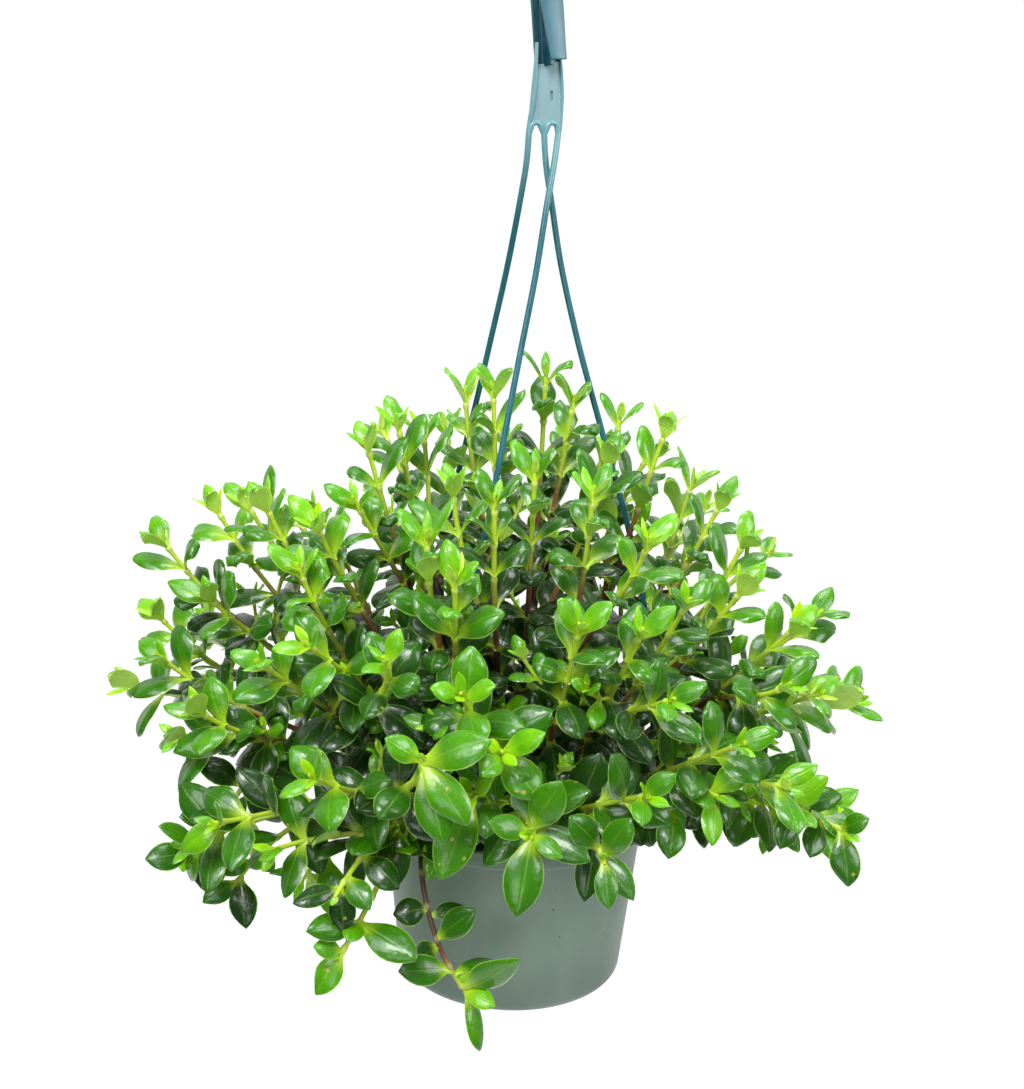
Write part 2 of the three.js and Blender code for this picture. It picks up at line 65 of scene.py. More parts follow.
tipped_up = upright * math.cos(roll) - level * math.sin(roll)
camera = bpy.data.objects.new("camera", bpy.data.cameras.new("camera"))
camera.data.sensor_width = film_width
camera.data.lens = focal_pixels * film_width / frame_pixels
camera.matrix_world = (Matrix.Translation(looks_at - ahead * distance)
                       @ Matrix((tipped_right, tipped_up, -ahead)).transposed().to_4x4())
bpy.context.scene.collection.objects.link(camera)
bpy.context.scene.camera = camera

# ---- Pot ----
# A six inch hanging pot: one thin shell of grey-green polypropylene, injection moulded, with a rolled foot,
# a proud band round the rim for the hanger's clips, and six drain holes in its floor.
rim_radius, pot_height, foot_radius, foot_round = 77.5, 104, 65.3, 6
wall, band_height, band_proud = 1.4, 9, 1.5
drain_count, drain_radius, drain_circle = 6, 5, 46


def linear(hex_colour):
    """A colour given as sRGB hex, in the linear values that shaders take."""
    parts = [int(hex_colour[i:i + 2], 16) / 255 for i in (1, 3, 5)]
    return [p / 12.92 if p <= 0.04045 else ((p + 0.055) / 1.055) ** 2.4 for p in parts] + [1]


def add(tree, kind, settings=None, sockets=None):
    """Adds a node with its settings. sockets gives each input, by identifier or name, a value or a link."""
    made = tree.nodes.new(kind)
    for name, value in (settings or {}).items():
        setattr(made, name, value)
    for name, value in (sockets or {}).items():
        socket = next(s for s in made.inputs if name in (s.identifier, s.name))
        if isinstance(value, bpy.types.NodeSocket):
            tree.links.new(value, socket)
        else:
            socket.default_value = value
    return made


def finish_of(name, **surface):
    """A new material with an empty tree, its Principled surface, and its output."""
    material = bpy.data.materials.new(name)
    material.use_nodes = True
    material.node_tree.nodes.clear()
    sockets = {key.replace("_", " ").title().replace("Ior", "IOR"): value for key, value in surface.items()}
    shader = add(material.node_tree, "ShaderNodeBsdfPrincipled", {}, sockets)
    add(material.node_tree, "ShaderNodeOutputMaterial", {}, {"Surface": shader.outputs[0]})
    return material, material.node_tree, shader


def mesh_piece(name, points, faces, sharp=40):
    """A mesh from points in millimetres, smooth but for edges sharper than an angle in degrees."""
    mesh = bpy.data.meshes.new(name)
    mesh.from_pydata([tuple(c * MM for c in point) for point in points], [], faces)
    mesh.shade_smooth()
    mesh.set_sharp_from_angle(angle=math.radians(sharp))
    piece = bpy.data.objects.new(name, mesh)
    bpy.context.scene.collection.objects.link(piece)
    return piece


def turned(name, profile, segments, sharp=40):
    """A profile of radius and height, from the axis round to the axis, turned about +Z."""
    points, faces = [(0, 0, profile[0][1])], []
    for radius, height in profile[1:-1]:
        for k in range(segments):
            angle = 2 * math.pi * k / segments
            points.append((radius * math.cos(angle), radius * math.sin(angle), height))
    points.append((0, 0, profile[-1][1]))
    rings = len(profile) - 2
    for k in range(segments):
        n = (k + 1) % segments
        faces.append((0, 1 + n, 1 + k))
        faces.append((len(points) - 1, 1 + (rings - 1) * segments + k, 1 + (rings - 1) * segments + n))
        for ring in range(rings - 1):
            a, b = 1 + ring * segments, 1 + (ring + 1) * segments
            faces.append((a + k, a + n, b + n, b + k))
    return mesh_piece(name, points, faces, sharp)


def rounded(centre_radius, centre_height, radius, first, last, steps):
    """Points of an arc in a profile, from one angle in degrees to another. 0 points outwards, 90 up."""
    return [(centre_radius + radius * math.cos(math.radians(a)),
             centre_height + radius * math.sin(math.radians(a)))
            for a in np.linspace(first, last, steps)]


def wall_radius(height):
    """The outside radius of the tapered wall."""
    return foot_radius + (rim_radius - band_proud - foot_radius) * height / pot_height


def plain_copy(piece, name):
    """The piece as its modifiers leave it, as a plain mesh in a new object. The old one goes."""
    graph = bpy.context.evaluated_depsgraph_get()
    mesh = bpy.data.meshes.new_from_object(piece.evaluated_get(graph), preserve_all_data_layers=True,
                                           depsgraph=graph)
    bpy.data.objects.remove(piece)
    made = bpy.data.objects.new(name, mesh)
    bpy.context.scene.collection.objects.link(made)
    return made


# From the middle of the underside outwards, up the wall, over the rim and back down inside.
band_bottom = pot_height - band_height
inside_foot = wall_radius(foot_round) - wall
pot_profile = (
    [(0, 0), (20, 0), (50, 0)]
    + rounded(wall_radius(foot_round) - foot_round, foot_round, foot_round, -90, 0, 9)
    + [(wall_radius(h), h) for h in (20, 40, 60, 80, 93)]
    + [(wall_radius(band_bottom), band_bottom - 0.3), (wall_radius(band_bottom) + 0.3, band_bottom)]
    + rounded(rim_radius - 0.5, band_bottom + 0.5, 0.5, -90, 0, 4)
    + rounded(rim_radius - 1, pot_height - 1, 1, 0, 90, 5)
    + rounded(wall_radius(pot_height) - wall + 0.4, pot_height - 0.4, 0.4, 90, 180, 3)
    + [(wall_radius(h) - wall, h) for h in (80, 60, 40, 20)]
    + rounded(inside_foot - 5, wall + 5, 5, 0, -90, 6)
    + [(50, wall), (20, wall), (0, wall)]
)
pot = turned("pot_shell", pot_profile, 160)
cutters = []
for k in range(drain_count):
    angle = 2 * math.pi * k / drain_count
    x, y = drain_circle * math.cos(angle), drain_circle * math.sin(angle)
    cutter = turned("drain", [(0, -3), (drain_radius, -3), (drain_radius, 5), (0, 5)], 28)
    cutter.location = Vector((x, y, 0)) * MM
    cut = pot.modifiers.new("drain", "BOOLEAN")
    cut.operation, cut.object = "DIFFERENCE", cutter
    cutters.append(cutter)
pot = plain_copy(pot, "pot_shell")
for cutter in cutters:
    bpy.data.objects.remove(cutter)
pot.data.set_sharp_from_angle(angle=math.radians(40))

# Polypropylene from a polished mould: a satin skin with faint flow streaks up the wall, painted shade in
# patches low down towards the foot, and a few specks of splashed peat. The streaks are about 17 mm apart, the
# patches, which also vary the gloss all over, 36 mm across, the specks 1 mm across in patches 60 mm apart.
# The skin's grain, which is finer on a real pot, is drawn 1.1 mm wide so that it shows.
satin_polypropylene, tree, shader = finish_of("satin_polypropylene", roughness=0.42, ior=1.49)
place = add(tree, "ShaderNodeTexCoord").outputs["Object"]
streaks = add(tree, "ShaderNodeTexNoise", {}, {
    "Vector": add(tree, "ShaderNodeMapping", {}, {"Vector": place, "Scale": (60, 60, 7)}).outputs[0],
    "Scale": 1.0, "Detail": 3.0}).outputs["Fac"]
shade_and_gloss_patches = add(tree, "ShaderNodeTexNoise", {}, {"Vector": place, "Scale": 28.0, "Detail": 5.0}).outputs["Fac"]
shade = add(tree, "ShaderNodeValToRGB", {}, {"Fac": streaks})
shade.color_ramp.elements[0].position, shade.color_ramp.elements[0].color = 0.3, linear("#70857A")
shade.color_ramp.elements[1].position, shade.color_ramp.elements[1].color = 0.7, linear("#788D81")
height = add(tree, "ShaderNodeSeparateXYZ", {}, {"Vector": place}).outputs["Z"]
low = add(tree, "ShaderNodeMapRange", {"interpolation_type": "SMOOTHSTEP"}, {
    "Value": height, "From Min": 0.045, "From Max": 0.0}).outputs[0]
# Painted shade: the wall darkens in patches over its lowest 45 mm.
painted_foot_shade = add(tree, "ShaderNodeMath", {"operation": "MULTIPLY"}, {"Value": low, "Value_001": shade_and_gloss_patches}).outputs[0]
foot_shaded = add(tree, "ShaderNodeMix", {"data_type": "RGBA"}, {
    "Factor_Float": painted_foot_shade, "A_Color": shade.outputs[0], "B_Color": linear("#5A6B62")}).outputs[2]
speck = add(tree, "ShaderNodeTexVoronoi", {}, {"Vector": place, "Scale": 130.0}).outputs["Distance"]
speck_here = add(tree, "ShaderNodeMapRange", {}, {
    "Value": speck, "From Min": 0.1, "From Max": 0.05}).outputs[0]
patch = add(tree, "ShaderNodeTexNoise", {}, {"Vector": place, "Scale": 17.0}).outputs["Fac"]
patchy = add(tree, "ShaderNodeMapRange", {}, {"Value": patch, "From Min": 0.56, "From Max": 0.62}).outputs[0]
splash = add(tree, "ShaderNodeMath", {"operation": "MULTIPLY"}, {
    "Value": speck_here, "Value_001": patchy}).outputs[0]
splashed = add(tree, "ShaderNodeMix", {"data_type": "RGBA"}, {
    "Factor_Float": splash, "A_Color": foot_shaded, "B_Color": linear("#4B463A")}).outputs[2]
tree.links.new(splashed, shader.inputs["Base Color"])
rough = add(tree, "ShaderNodeMapRange", {}, {
    "Value": shade_and_gloss_patches, "From Min": 0.3, "From Max": 0.7, "To Min": 0.36, "To Max": 0.52}).outputs[0]
tree.links.new(rough, shader.inputs["Roughness"])
skin = add(tree, "ShaderNodeTexNoise", {}, {"Vector": place, "Scale": 900.0, "Detail": 2.0}).outputs["Fac"]
bump = add(tree, "ShaderNodeBump", {}, {"Height": skin, "Strength": 0.12, "Distance": 0.0002})
tree.links.new(bump.outputs[0], shader.inputs["Normal"])
pot.data.materials.clear()
pot.data.materials.append(satin_polypropylene)
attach(pot, "root")
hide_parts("pot")

# ---- Soil ----
# Moist peat potting mix, poured in to a finger below the rim and heaped a little at the middle, with
# crumbs of bark and a few white beads of perlite lying on it.
# The clearance keeps it off the pot, and the facet depth is what a flat side of it could stand out by.
soil_edge, soil_centre, clearance, facet_depth = 90, 94, 0.35, 0.3
lumps_per_metre, lump_height, crumb_size, disc_sides = 130, 2, 1.7, 24


def soil_radius(height):
    """The radius that fills the pot at a height."""
    return wall_radius(height) - wall - clearance - facet_depth


def soil_height(reach):
    """The height of the heaped surface at a distance from the middle."""
    return soil_centre + (soil_edge - soil_centre) * reach / soil_radius(soil_edge)


edge = soil_radius(soil_edge)
soil_profile = (
    [(0, wall + clearance), (soil_radius(foot_round) - foot_round, wall + clearance),
     (soil_radius(foot_round), foot_round + 1), (soil_radius(50), 50), (edge - 0.6, soil_edge - 2)]
    + [(reach, soil_height(reach)) for reach in np.linspace(edge - 1, 2, 30)]
    + [(0, soil_height(0))]
)
soil = turned("soil_fill", soil_profile, 96, sharp=80)
for vertex in soil.data.vertices:
    if vertex.co.z > (soil_edge - 1) * MM:
        lump = noise.fractal(vertex.co * lumps_per_metre, 1.0, 2.1, 4)
        vertex.co.z += min(max(lump, -1), 0.8) * lump_height * MM

# Peat fibre, moist and loose, so dark and without gloss, in grains of about 2.4 mm. The perlite beads are
# expanded glass, white and as dull.
peat, tree, shader = finish_of("moist_peat", roughness=0.9, ior=1.35)
place = add(tree, "ShaderNodeTexCoord").outputs["Object"]
grain = add(tree, "ShaderNodeTexNoise", {}, {
    "Vector": place, "Scale": 420.0, "Detail": 8.0, "Roughness": 0.7}).outputs["Fac"]
pale = add(tree, "ShaderNodeAttribute", {"attribute_name": "pale"}).outputs["Fac"]
shade = add(tree, "ShaderNodeValToRGB", {}, {"Fac": grain})
shade.color_ramp.elements[0].position, shade.color_ramp.elements[0].color = 0.32, linear("#1C130D")
shade.color_ramp.elements[1].position, shade.color_ramp.elements[1].color = 0.72, linear("#5A4330")
whiter = add(tree, "ShaderNodeMix", {"data_type": "RGBA"}, {
    "Factor_Float": pale, "A_Color": shade.outputs[0], "B_Color": linear("#E4E0D6")}).outputs[2]
tree.links.new(whiter, shader.inputs["Base Color"])
bump = add(tree, "ShaderNodeBump", {}, {"Height": grain, "Strength": 0.8, "Distance": 0.0012})
tree.links.new(bump.outputs[0], shader.inputs["Normal"])
soil.data.materials.append(peat)
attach(soil, "root")
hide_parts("soil")


def tree_with(name, inputs):
    """A Geometry Nodes tree with named inputs, and its group input and output."""
    tree = bpy.data.node_groups.new(name, "GeometryNodeTree")
    tree.interface.new_socket("Geometry", in_out="OUTPUT", socket_type="NodeSocketGeometry")
    tree.interface.new_socket("Geometry", in_out="INPUT", socket_type="NodeSocketGeometry")
    for label, kind in inputs.items():
        tree.interface.new_socket(label, in_out="INPUT", socket_type="NodeSocket" + kind)
    return tree, add(tree, "NodeGroupInput").outputs, add(tree, "NodeGroupOutput")


def grown(name, start, tree, values):
    """What a tree makes of an object, with its inputs set, as a plain mesh in a new object."""
    modifier = start.modifiers.new(tree.name, "NODES")
    modifier.node_group = tree
    for socket in tree.interface.items_tree:
        if socket.in_out == "INPUT" and socket.name in values:
            modifier[socket.identifier] = values[socket.name]
    return plain_copy(start, name)


crumbs_tree, given, out = tree_with("crumbs_on_soil", {
    "Crumb Size": "Float", "Crumbs Per Area": "Float", "Perlite Share": "Float", "Seed": "Int",
    "Peat": "Material"})
scattered = add(crumbs_tree, "GeometryNodeDistributePointsOnFaces", {"distribute_method": "RANDOM"}, {
    "Mesh": given["Geometry"], "Density": given["Crumbs Per Area"], "Seed": given["Seed"]})
crumb = add(crumbs_tree, "GeometryNodeMeshIcoSphere", {}, {"Radius": given["Crumb Size"], "Subdivisions": 1})
spin = add(crumbs_tree, "FunctionNodeRandomValue", {"data_type": "FLOAT_VECTOR"}, {
    "Min": (0, 0, 0), "Max": (6.28, 6.28, 6.28), "Seed": 3})
stretch = add(crumbs_tree, "FunctionNodeRandomValue", {"data_type": "FLOAT_VECTOR"}, {
    "Min": (0.5, 0.4, 0.3), "Max": (1.6, 1.0, 0.7), "Seed": 4})
turned_crumb = add(crumbs_tree, "FunctionNodeEulerToRotation", {}, {"Euler": spin.outputs[0]})
laid = add(crumbs_tree, "GeometryNodeInstanceOnPoints", {}, {
    "Points": scattered.outputs[0], "Instance": crumb.outputs[0],
    "Rotation": turned_crumb.outputs[0], "Scale": stretch.outputs[0]})
is_pale = add(crumbs_tree, "FunctionNodeRandomValue", {"data_type": "BOOLEAN"}, {
    "Probability": given["Perlite Share"], "Seed": 5})
marked = add(crumbs_tree, "GeometryNodeStoreNamedAttribute", {"data_type": "FLOAT", "domain": "INSTANCE"}, {
    "Geometry": laid.outputs[0], "Name": "pale", "Value": is_pale.outputs[3]})
real = add(crumbs_tree, "GeometryNodeRealizeInstances", {}, {"Geometry": marked.outputs[0]})
coated = add(crumbs_tree, "GeometryNodeSetMaterial", {}, {
    "Geometry": real.outputs[0], "Material": given["Peat"]})
crumbs_tree.links.new(coated.outputs[0], out.inputs[0])

# The crumbs lie on a disc just over the soil.
top_points, top_faces = [], []
for ring, reach in enumerate(np.linspace(8, edge - 4, 9)):
    for k in range(disc_sides):
        angle, n = 2 * math.pi * k / disc_sides, (k + 1) % disc_sides
        top_points.append((reach * math.cos(angle), reach * math.sin(angle), soil_height(reach) + 0.6))
        if ring:
            a, b = (ring - 1) * disc_sides, ring * disc_sides
            top_faces.append((a + k, b + k, b + n, a + n))
crumbs = grown("soil_crumbs", mesh_piece("soil_top", top_points, top_faces), crumbs_tree, {
    "Crumb Size": crumb_size * MM, "Crumbs Per Area": 32000.0, "Perlite Share": 0.09, "Seed": 11,
    "Peat": peat})
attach(crumbs, "root")

# ---- Hanger ----
# One injection moulding of teal polypropylene: a hook on an I-section stem, a thin plate with side ribs and
# two arches, and three round legs that spread to the clips on the pot's rim.
hanger_x, hanger_turn = 3, math.radians(25)
leg_width, plate_foot, plate_top, plate_thick = 3.4, 482, 519, 2.2
arch_centres, arch_radius, arch_top = (4.1, -5.3), 2.9, 489
slot_top, slot_foot, slot_radius, slot_depth = 504, 500.4, 0.85, 1.2
beam_width, beam_depth, flange, web = 14, 11, 1.8, 2
hook_radius, hook_height, hook_ahead = 18.5, 568, 9
across = Vector((math.cos(hanger_turn), math.sin(hanger_turn), 0))
forward = Vector((math.sin(hanger_turn), -math.cos(hanger_turn), 0))
# Each leg's bearing at the rim, and the points that it passes through on its way down.
legs = [
    (132, [(-5.2, -3.8, 492), (-5.4, -3.7, 484), (-6.1, -0.6, 468), (-8.4, 5.6, 450), (-14.3, 13.7, 412),
           (-22.6, 25.8, 368), (-30.8, 36, 326), (-38.5, 45, 290), (-47, 54, 240), (-52, 58, 190)]),
    (242, [(10.5, 3.5, 492), (10.1, 3.3, 484), (8.3, -0.5, 466), (5.4, -6, 446), (0.8, -13.2, 410),
           (-5.8, -22.4, 370), (-13.8, -35.2, 320), (-21.6, -47.2, 273), (-28.8, -59, 236), (-34, -67, 190)]),
    (3, [(2.5, -0.2, 492), (2.6, 0, 484), (4.4, 2.6, 466), (8.2, 4, 446), (14.2, 4, 415), (25, 4, 374),
         (40, 4, 326), (57, 4, 273), (70, 4, 222), (76, 4, 180)]),
]


def on_hanger(x, height, ahead_by):
    """A point across the plate, up it, and ahead of it."""
    return Vector((hanger_x, 0, height)) + across * x + forward * ahead_by


def smooth_through(points, steps):
    """A centripetal spline through points, with as many steps in each span."""
    points = [np.array(p, float) for p in points]
    points = [2 * points[0] - points[1]] + points + [2 * points[-1] - points[-2]]
    path = [points[1]]
    for a, b, c, d in zip(points, points[1:], points[2:], points[3:]):
        t1, t2, t3 = np.cumsum([math.sqrt(np.linalg.norm(q - p)) for p, q in ((a, b), (b, c), (c, d))])
        for t in np.linspace(t1, t2, steps + 1)[1:]:
            ab = a + (b - a) * t / t1
            bc = b + (c - b) * (t - t1) / (t2 - t1)
            cd = c + (d - c) * (t - t2) / (t3 - t2)
            abc = ab + (bc - ab) * t / t2
            bcd = bc + (cd - bc) * (t - t1) / (t3 - t1)
            path.append(abc + (bcd - abc) * (t - t1) / (t2 - t1))
    return path


def lofted(rings, turned_over=False):
    """A closed body through rings of points, turned over where the rings run the other way round."""
    count = len(rings[0])
    points = [point for ring in rings for point in ring]
    ends = [tuple(range(count))[::-1], tuple(range(len(points) - count, len(points)))]
    faces = [end[::-1] for end in ends] if turned_over else ends
    for ring in range(len(rings) - 1):
        for k in range(count):
            a, n = ring * count, (k + 1) % count
            first, second = (a + n, a + k) if turned_over else (a + k, a + n)
            faces.append((first, second, second + count, first + count))
    return points, faces


def swept(section, frames):
    """A closed body: a flat section carried through frames of centre, first and second direction."""
    return lofted([[centre + first * x + second * y for x, y in section] for centre, first, second in frames])


def slab(outline, back, front):
    """A flat outline in the hanger's plane, from one depth to another."""
    return swept(outline, [(on_hanger(0, 0, depth), across, Vector((0, 0, 1))) for depth in (back, front)])


def arc(x, y, radius, first, last, steps):
    """Points of an arc in the hanger's plane, from one angle in degrees to another."""
    return [(x + radius * math.cos(math.radians(a)), y + radius * math.sin(math.radians(a)))
            for a in np.linspace(first, last, steps)]


def bevelled(name, shapes, width):
    """Several closed bodies as one piece, their edges rounded by a width in millimetres."""
    points, faces = [], []
    for shape_points, shape_faces in shapes:
        faces += [tuple(i + len(points) for i in face) for face in shape_faces]
        points += shape_points
    piece = mesh_piece(name, points, faces)
    bevel = piece.modifiers.new("rounded", "BEVEL")
    bevel.width, bevel.segments, bevel.angle_limit = width * MM, 2, math.radians(35)
    piece = plain_copy(piece, name)
    piece.data.shade_smooth()
    piece.data.set_sharp_from_angle(angle=math.radians(50))
    return piece


# The plate tapers upwards, and two arches are cut out of its foot between the prongs that run into the legs.
plate_outline = [(-9.9, plate_foot), (-9.9, 486), (-7.6, plate_top - 1.5), (7.4, plate_top + 0.8),
                 (9.6, 503), (9.2, 486), (8.6, plate_foot), (8, plate_foot)]
for centre, prong in zip(arch_centres, ((0.6, -0.6), (-9.2,))):
    plate_outline += arc(centre, arch_top - arch_radius, arch_radius, 0, 180, 13)
    plate_outline += [(x, plate_foot) for x in prong]
half_plate = plate_thick / 2
plate = mesh_piece("plate", *slab(plate_outline[::-1], -half_plate, half_plate))
# The mould leaves a short slot in its face.
mould_mark = mesh_piece("mould_mark", *slab(
    arc(2.6, slot_top, slot_radius, 0, 180, 6) + arc(2.6, slot_foot, slot_radius, 180, 360, 6),
    half_plate - slot_depth, 4))
cut = plate.modifiers.new("mould_mark", "BOOLEAN")
cut.operation, cut.object = "DIFFERENCE", mould_mark
rounding = plate.modifiers.new("rounded", "BEVEL")
rounding.width, rounding.segments, rounding.angle_limit = 0.3 * MM, 2, math.radians(35)
plate = plain_copy(plate, "hanger_plate")
plate.data.set_sharp_from_angle(angle=math.radians(15))
bpy.data.objects.remove(mould_mark)

# Along each edge of the plate runs a fin: outer edge, height, how far it stands forward, and its width.
fins = [
    [(-9.9, 487, 0, 1.2), (-9.6, 491, 0.5, 1.7), (-9.1, 497, 1.4, 2), (-8.2, 509, 1.6, 1.8),
     (-7.5, 519, 1.6, 1), (-7.1, 529, 1.1, 0.6)],
    [(9.4, 484, 0, 0.8), (9.5, 490, 0.4, 1.1), (9.6, 502, 0.9, 1.3), (8.7, 510, 1.3, 1.4),
     (7.6, 519, 1.3, 1.3), (7.3, 523.8, 0.8, 1.1)],
]
fin_shapes = []
for fin in fins:
    rings = []
    for outer, height, stands, width in fin:
        left, right = sorted((outer, outer - math.copysign(width, outer)))
        corners = [(left, -half_plate), (right, -half_plate), (right, half_plate + stands),
                   (left, half_plate + stands)]
        rings.append([on_hanger(x, height, by) for x, by in corners])
    fin_shapes.append(lofted(rings, turned_over=True))

# The hook's middle line, as height and how far it stands ahead of the plate.
wide, deep, inside, web_left = beam_width / 2, beam_depth / 2, beam_depth / 2 - flange, -2.5
hook_points = [(plate_top - 1.5, 4.3), (plate_top + 1, 3.95), (526, 2.4), (538, -0.5), (550, -3.5)]
hook_points += [(hook_height + hook_radius * math.sin(math.radians(a)),
                 hook_ahead - hook_radius * math.cos(math.radians(a))) for a in range(0, 181, 36)]
hook_points += [(hook_height - 9, hook_ahead + hook_radius + 0.5)]
hook_path = smooth_through([(height, by, 0) for height, by in hook_points], 6)
hook_frames = []
for k, (height, by, _) in enumerate(hook_path):
    before, after = hook_path[max(k - 1, 0)], hook_path[min(k + 1, len(hook_path) - 1)]
    rise, reach = after[0] - before[0], after[1] - before[1]
    size = math.hypot(rise, reach)
    outward = forward * (rise / size) - Vector((0, 0, reach / size))
    hook_frames.append((on_hanger(0, height, by), across, outward))
# The web and the rear flange start at the plate. The front flange starts a few frames higher and narrower,
# and has a slight ridge down its middle.
web_right, web_front, front_starts = web_left + web, inside + 0.3, 6
front_right, ridge, narrowed, narrow_at, narrowed_over = wide - 0.3, 0.08, 4.6, 521, 34
rear = [(-wide, -deep), (wide, -deep), (wide, -inside), (web_right, -inside), (web_right, web_front),
        (web_left, web_front), (web_left, -inside), (-wide, -inside)]
front_rings = []
for centre, first, second in hook_frames[front_starts:]:
    left = -wide + narrowed * max(0, 1 - (centre.z - narrow_at) / narrowed_over)
    section = [(left, inside), (front_right, inside), (front_right, deep), ((left + wide) / 2, deep + ridge),
               (left, deep)]
    front_rings.append([centre + first * x + second * y for x, y in section])

# A clip is a hook over the rim that turns in under its band.
clip_shapes = []
face, under, over = rim_radius + clearance, band_bottom - clearance, pot_height + clearance
inner = wall_radius(pot_height) - wall - 2.5 * clearance
clip_outline = [(face + leg_width, under - 2), (face + leg_width, pot_height + 6),
                (face + 0.6, pot_height + 6), (inner - 1.6, over + 1.8), (inner - 1.6, pot_height - 3.5),
                (inner, pot_height - 3.5), (inner, over), (face, over), (face, under), (face - 1.3, under),
                (face - 1.3, under - 2)]
for bearing, _ in legs:
    out = Vector((math.cos(math.radians(bearing)), math.sin(math.radians(bearing)), 0))
    side = Vector((-out.y, out.x, 0))
    clip_shapes.append(swept(clip_outline, [(side * by, out, Vector((0, 0, 1))) for by in (4, -4)]))


# Polypropylene from a polished mould: glossy, with upright flow lines about 2.4 mm apart. All of the hanger
# is one teal, but its finishes are painted lit and shaded copies of it: the plate's flat face is paler with
# painted sheen and duller, the hook's face a little paler, its channel painted in shade, and the tops of the
# legs and fins paler with painted highlight. The skin's grain is drawn 1.1 mm wide so that it shows.
def teal_polypropylene(name, dark, pale, least_rough, most_rough, painted_top_colour):
    """One shade of it, which turns to a painted top colour, light or shade, from 430 mm up to the tops of the
    arches.
    """
    made, tree, shader = finish_of(name, roughness=0.3, ior=1.49)
    place = add(tree, "ShaderNodeTexCoord").outputs["Object"]
    stretched = add(tree, "ShaderNodeMapping", {}, {"Vector": place, "Scale": (420, 420, 30)}).outputs[0]
    flow = add(tree, "ShaderNodeTexNoise", {}, {
        "Vector": stretched, "Scale": 1.0, "Detail": 4.0}).outputs["Fac"]
    shade = add(tree, "ShaderNodeValToRGB", {}, {"Fac": flow})
    shade.color_ramp.elements[0].position, shade.color_ramp.elements[0].color = 0.3, linear(dark)
    shade.color_ramp.elements[1].position, shade.color_ramp.elements[1].color = 0.72, linear(pale)
    high = add(tree, "ShaderNodeSeparateXYZ", {}, {"Vector": place}).outputs["Z"]
    # Painted light and shade: from 430 mm up, the colour turns three quarters of the way to the painted top
    # colour.
    painted_top_share = add(tree, "ShaderNodeMapRange", {"interpolation_type": "SMOOTHSTEP"}, {
        "Value": high, "From Min": 0.43, "From Max": 0.489, "To Max": 0.75}).outputs[0]
    both = add(tree, "ShaderNodeMix", {"data_type": "RGBA"}, {
        "Factor_Float": painted_top_share, "A_Color": shade.outputs[0], "B_Color": linear(painted_top_colour)}).outputs[2]
    tree.links.new(both, shader.inputs["Base Color"])
    rough = add(tree, "ShaderNodeMapRange", {}, {
        "Value": flow, "From Min": 0.3, "From Max": 0.7,
        "To Min": least_rough, "To Max": most_rough}).outputs[0]
    tree.links.new(rough, shader.inputs["Roughness"])
    skin = add(tree, "ShaderNodeTexNoise", {}, {
        "Vector": place, "Scale": 900.0, "Detail": 2.0}).outputs["Fac"]
    bump = add(tree, "ShaderNodeBump", {}, {"Height": skin, "Strength": 0.15, "Distance": 0.0002})
    tree.links.new(bump.outputs[0], shader.inputs["Normal"])
    return made


# Lit and shaded copies of the one teal: the channel is painted in shade, the hook's face and the plate
# painted lighter.
painted_shade_teal = teal_polypropylene("channel_teal_polypropylene", "#0B3440", "#114250", 0.24, 0.32, "#0D3844")
glossy_teal = teal_polypropylene("glossy_teal_polypropylene", "#1B535D", "#27656F", 0.14, 0.24, "#6F9EA6")
painted_light_face_teal = teal_polypropylene("face_teal_polypropylene", "#2D5964", "#3B6873", 0.32, 0.42, "#34606B")
painted_sheen_teal = teal_polypropylene("rubbed_teal_polypropylene", "#5C7F86", "#829FA3", 0.38, 0.5, "#74939A")

for piece, finish in ((plate, painted_sheen_teal), (bevelled("hanger_fins", fin_shapes, 0.35), glossy_teal),
                      (bevelled("hanger_hook", [swept(rear, hook_frames)], 0.3), painted_shade_teal),
                      (bevelled("hanger_face", [lofted(front_rings, turned_over=True)], 0.3), painted_light_face_teal),
                      (bevelled("hanger_clips", clip_shapes, 0.4), glossy_teal)):
    piece.data.materials.clear()
    piece.data.materials.append(finish)
    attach(piece, "root")
    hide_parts("hanger")

# The legs are round rods. A tree sweeps a ring along each leg's line; its thickness is in the points.
rods_tree, given, out = tree_with("rods_along_lines", {"Sides": "Int", "Finish": "Material"})
lines = add(rods_tree, "GeometryNodeMeshToCurve", {}, {"Mesh": given["Geometry"]})
ring = add(rods_tree, "GeometryNodeCurvePrimitiveCircle", {}, {"Resolution": given["Sides"], "Radius": 1.0})
thickness = add(rods_tree, "GeometryNodeInputNamedAttribute", {"data_type": "FLOAT"}, {"Name": "thickness"})
rods = add(rods_tree, "GeometryNodeCurveToMesh", {}, {
    "Curve": lines.outputs[0], "Profile Curve": ring.outputs[0], "Scale": thickness.outputs[0],
    "Fill Caps": True})
smooth = add(rods_tree, "GeometryNodeSetShadeSmooth", {}, {"Geometry": rods.outputs[0]})
real = add(rods_tree, "GeometryNodeRealizeInstances", {}, {"Geometry": smooth.outputs[0]})
coated = add(rods_tree, "GeometryNodeSetMaterial", {}, {
    "Geometry": real.outputs[0], "Material": given["Finish"]})
rods_tree.links.new(coated.outputs[0], out.inputs[0])


def lines_with(name, runs, **numbers):
    """Lines through points in millimetres, with a number for each point under each given name."""
    points = [tuple(np.array(p) * MM) for run in runs for p in run]
    starts = np.cumsum([0] + [len(run) for run in runs])
    edges = [(int(i), int(i) + 1)
             for run, start in zip(runs, starts) for i in range(start, start + len(run) - 1)]
    mesh = bpy.data.meshes.new(name)
    mesh.from_pydata(points, edges, [])
    for key, values in numbers.items():
        mesh.attributes.new(key, "FLOAT", "POINT").data.foreach_set("value", values)
    piece = bpy.data.objects.new(name, mesh)
    bpy.context.scene.collection.objects.link(piece)
    return piece


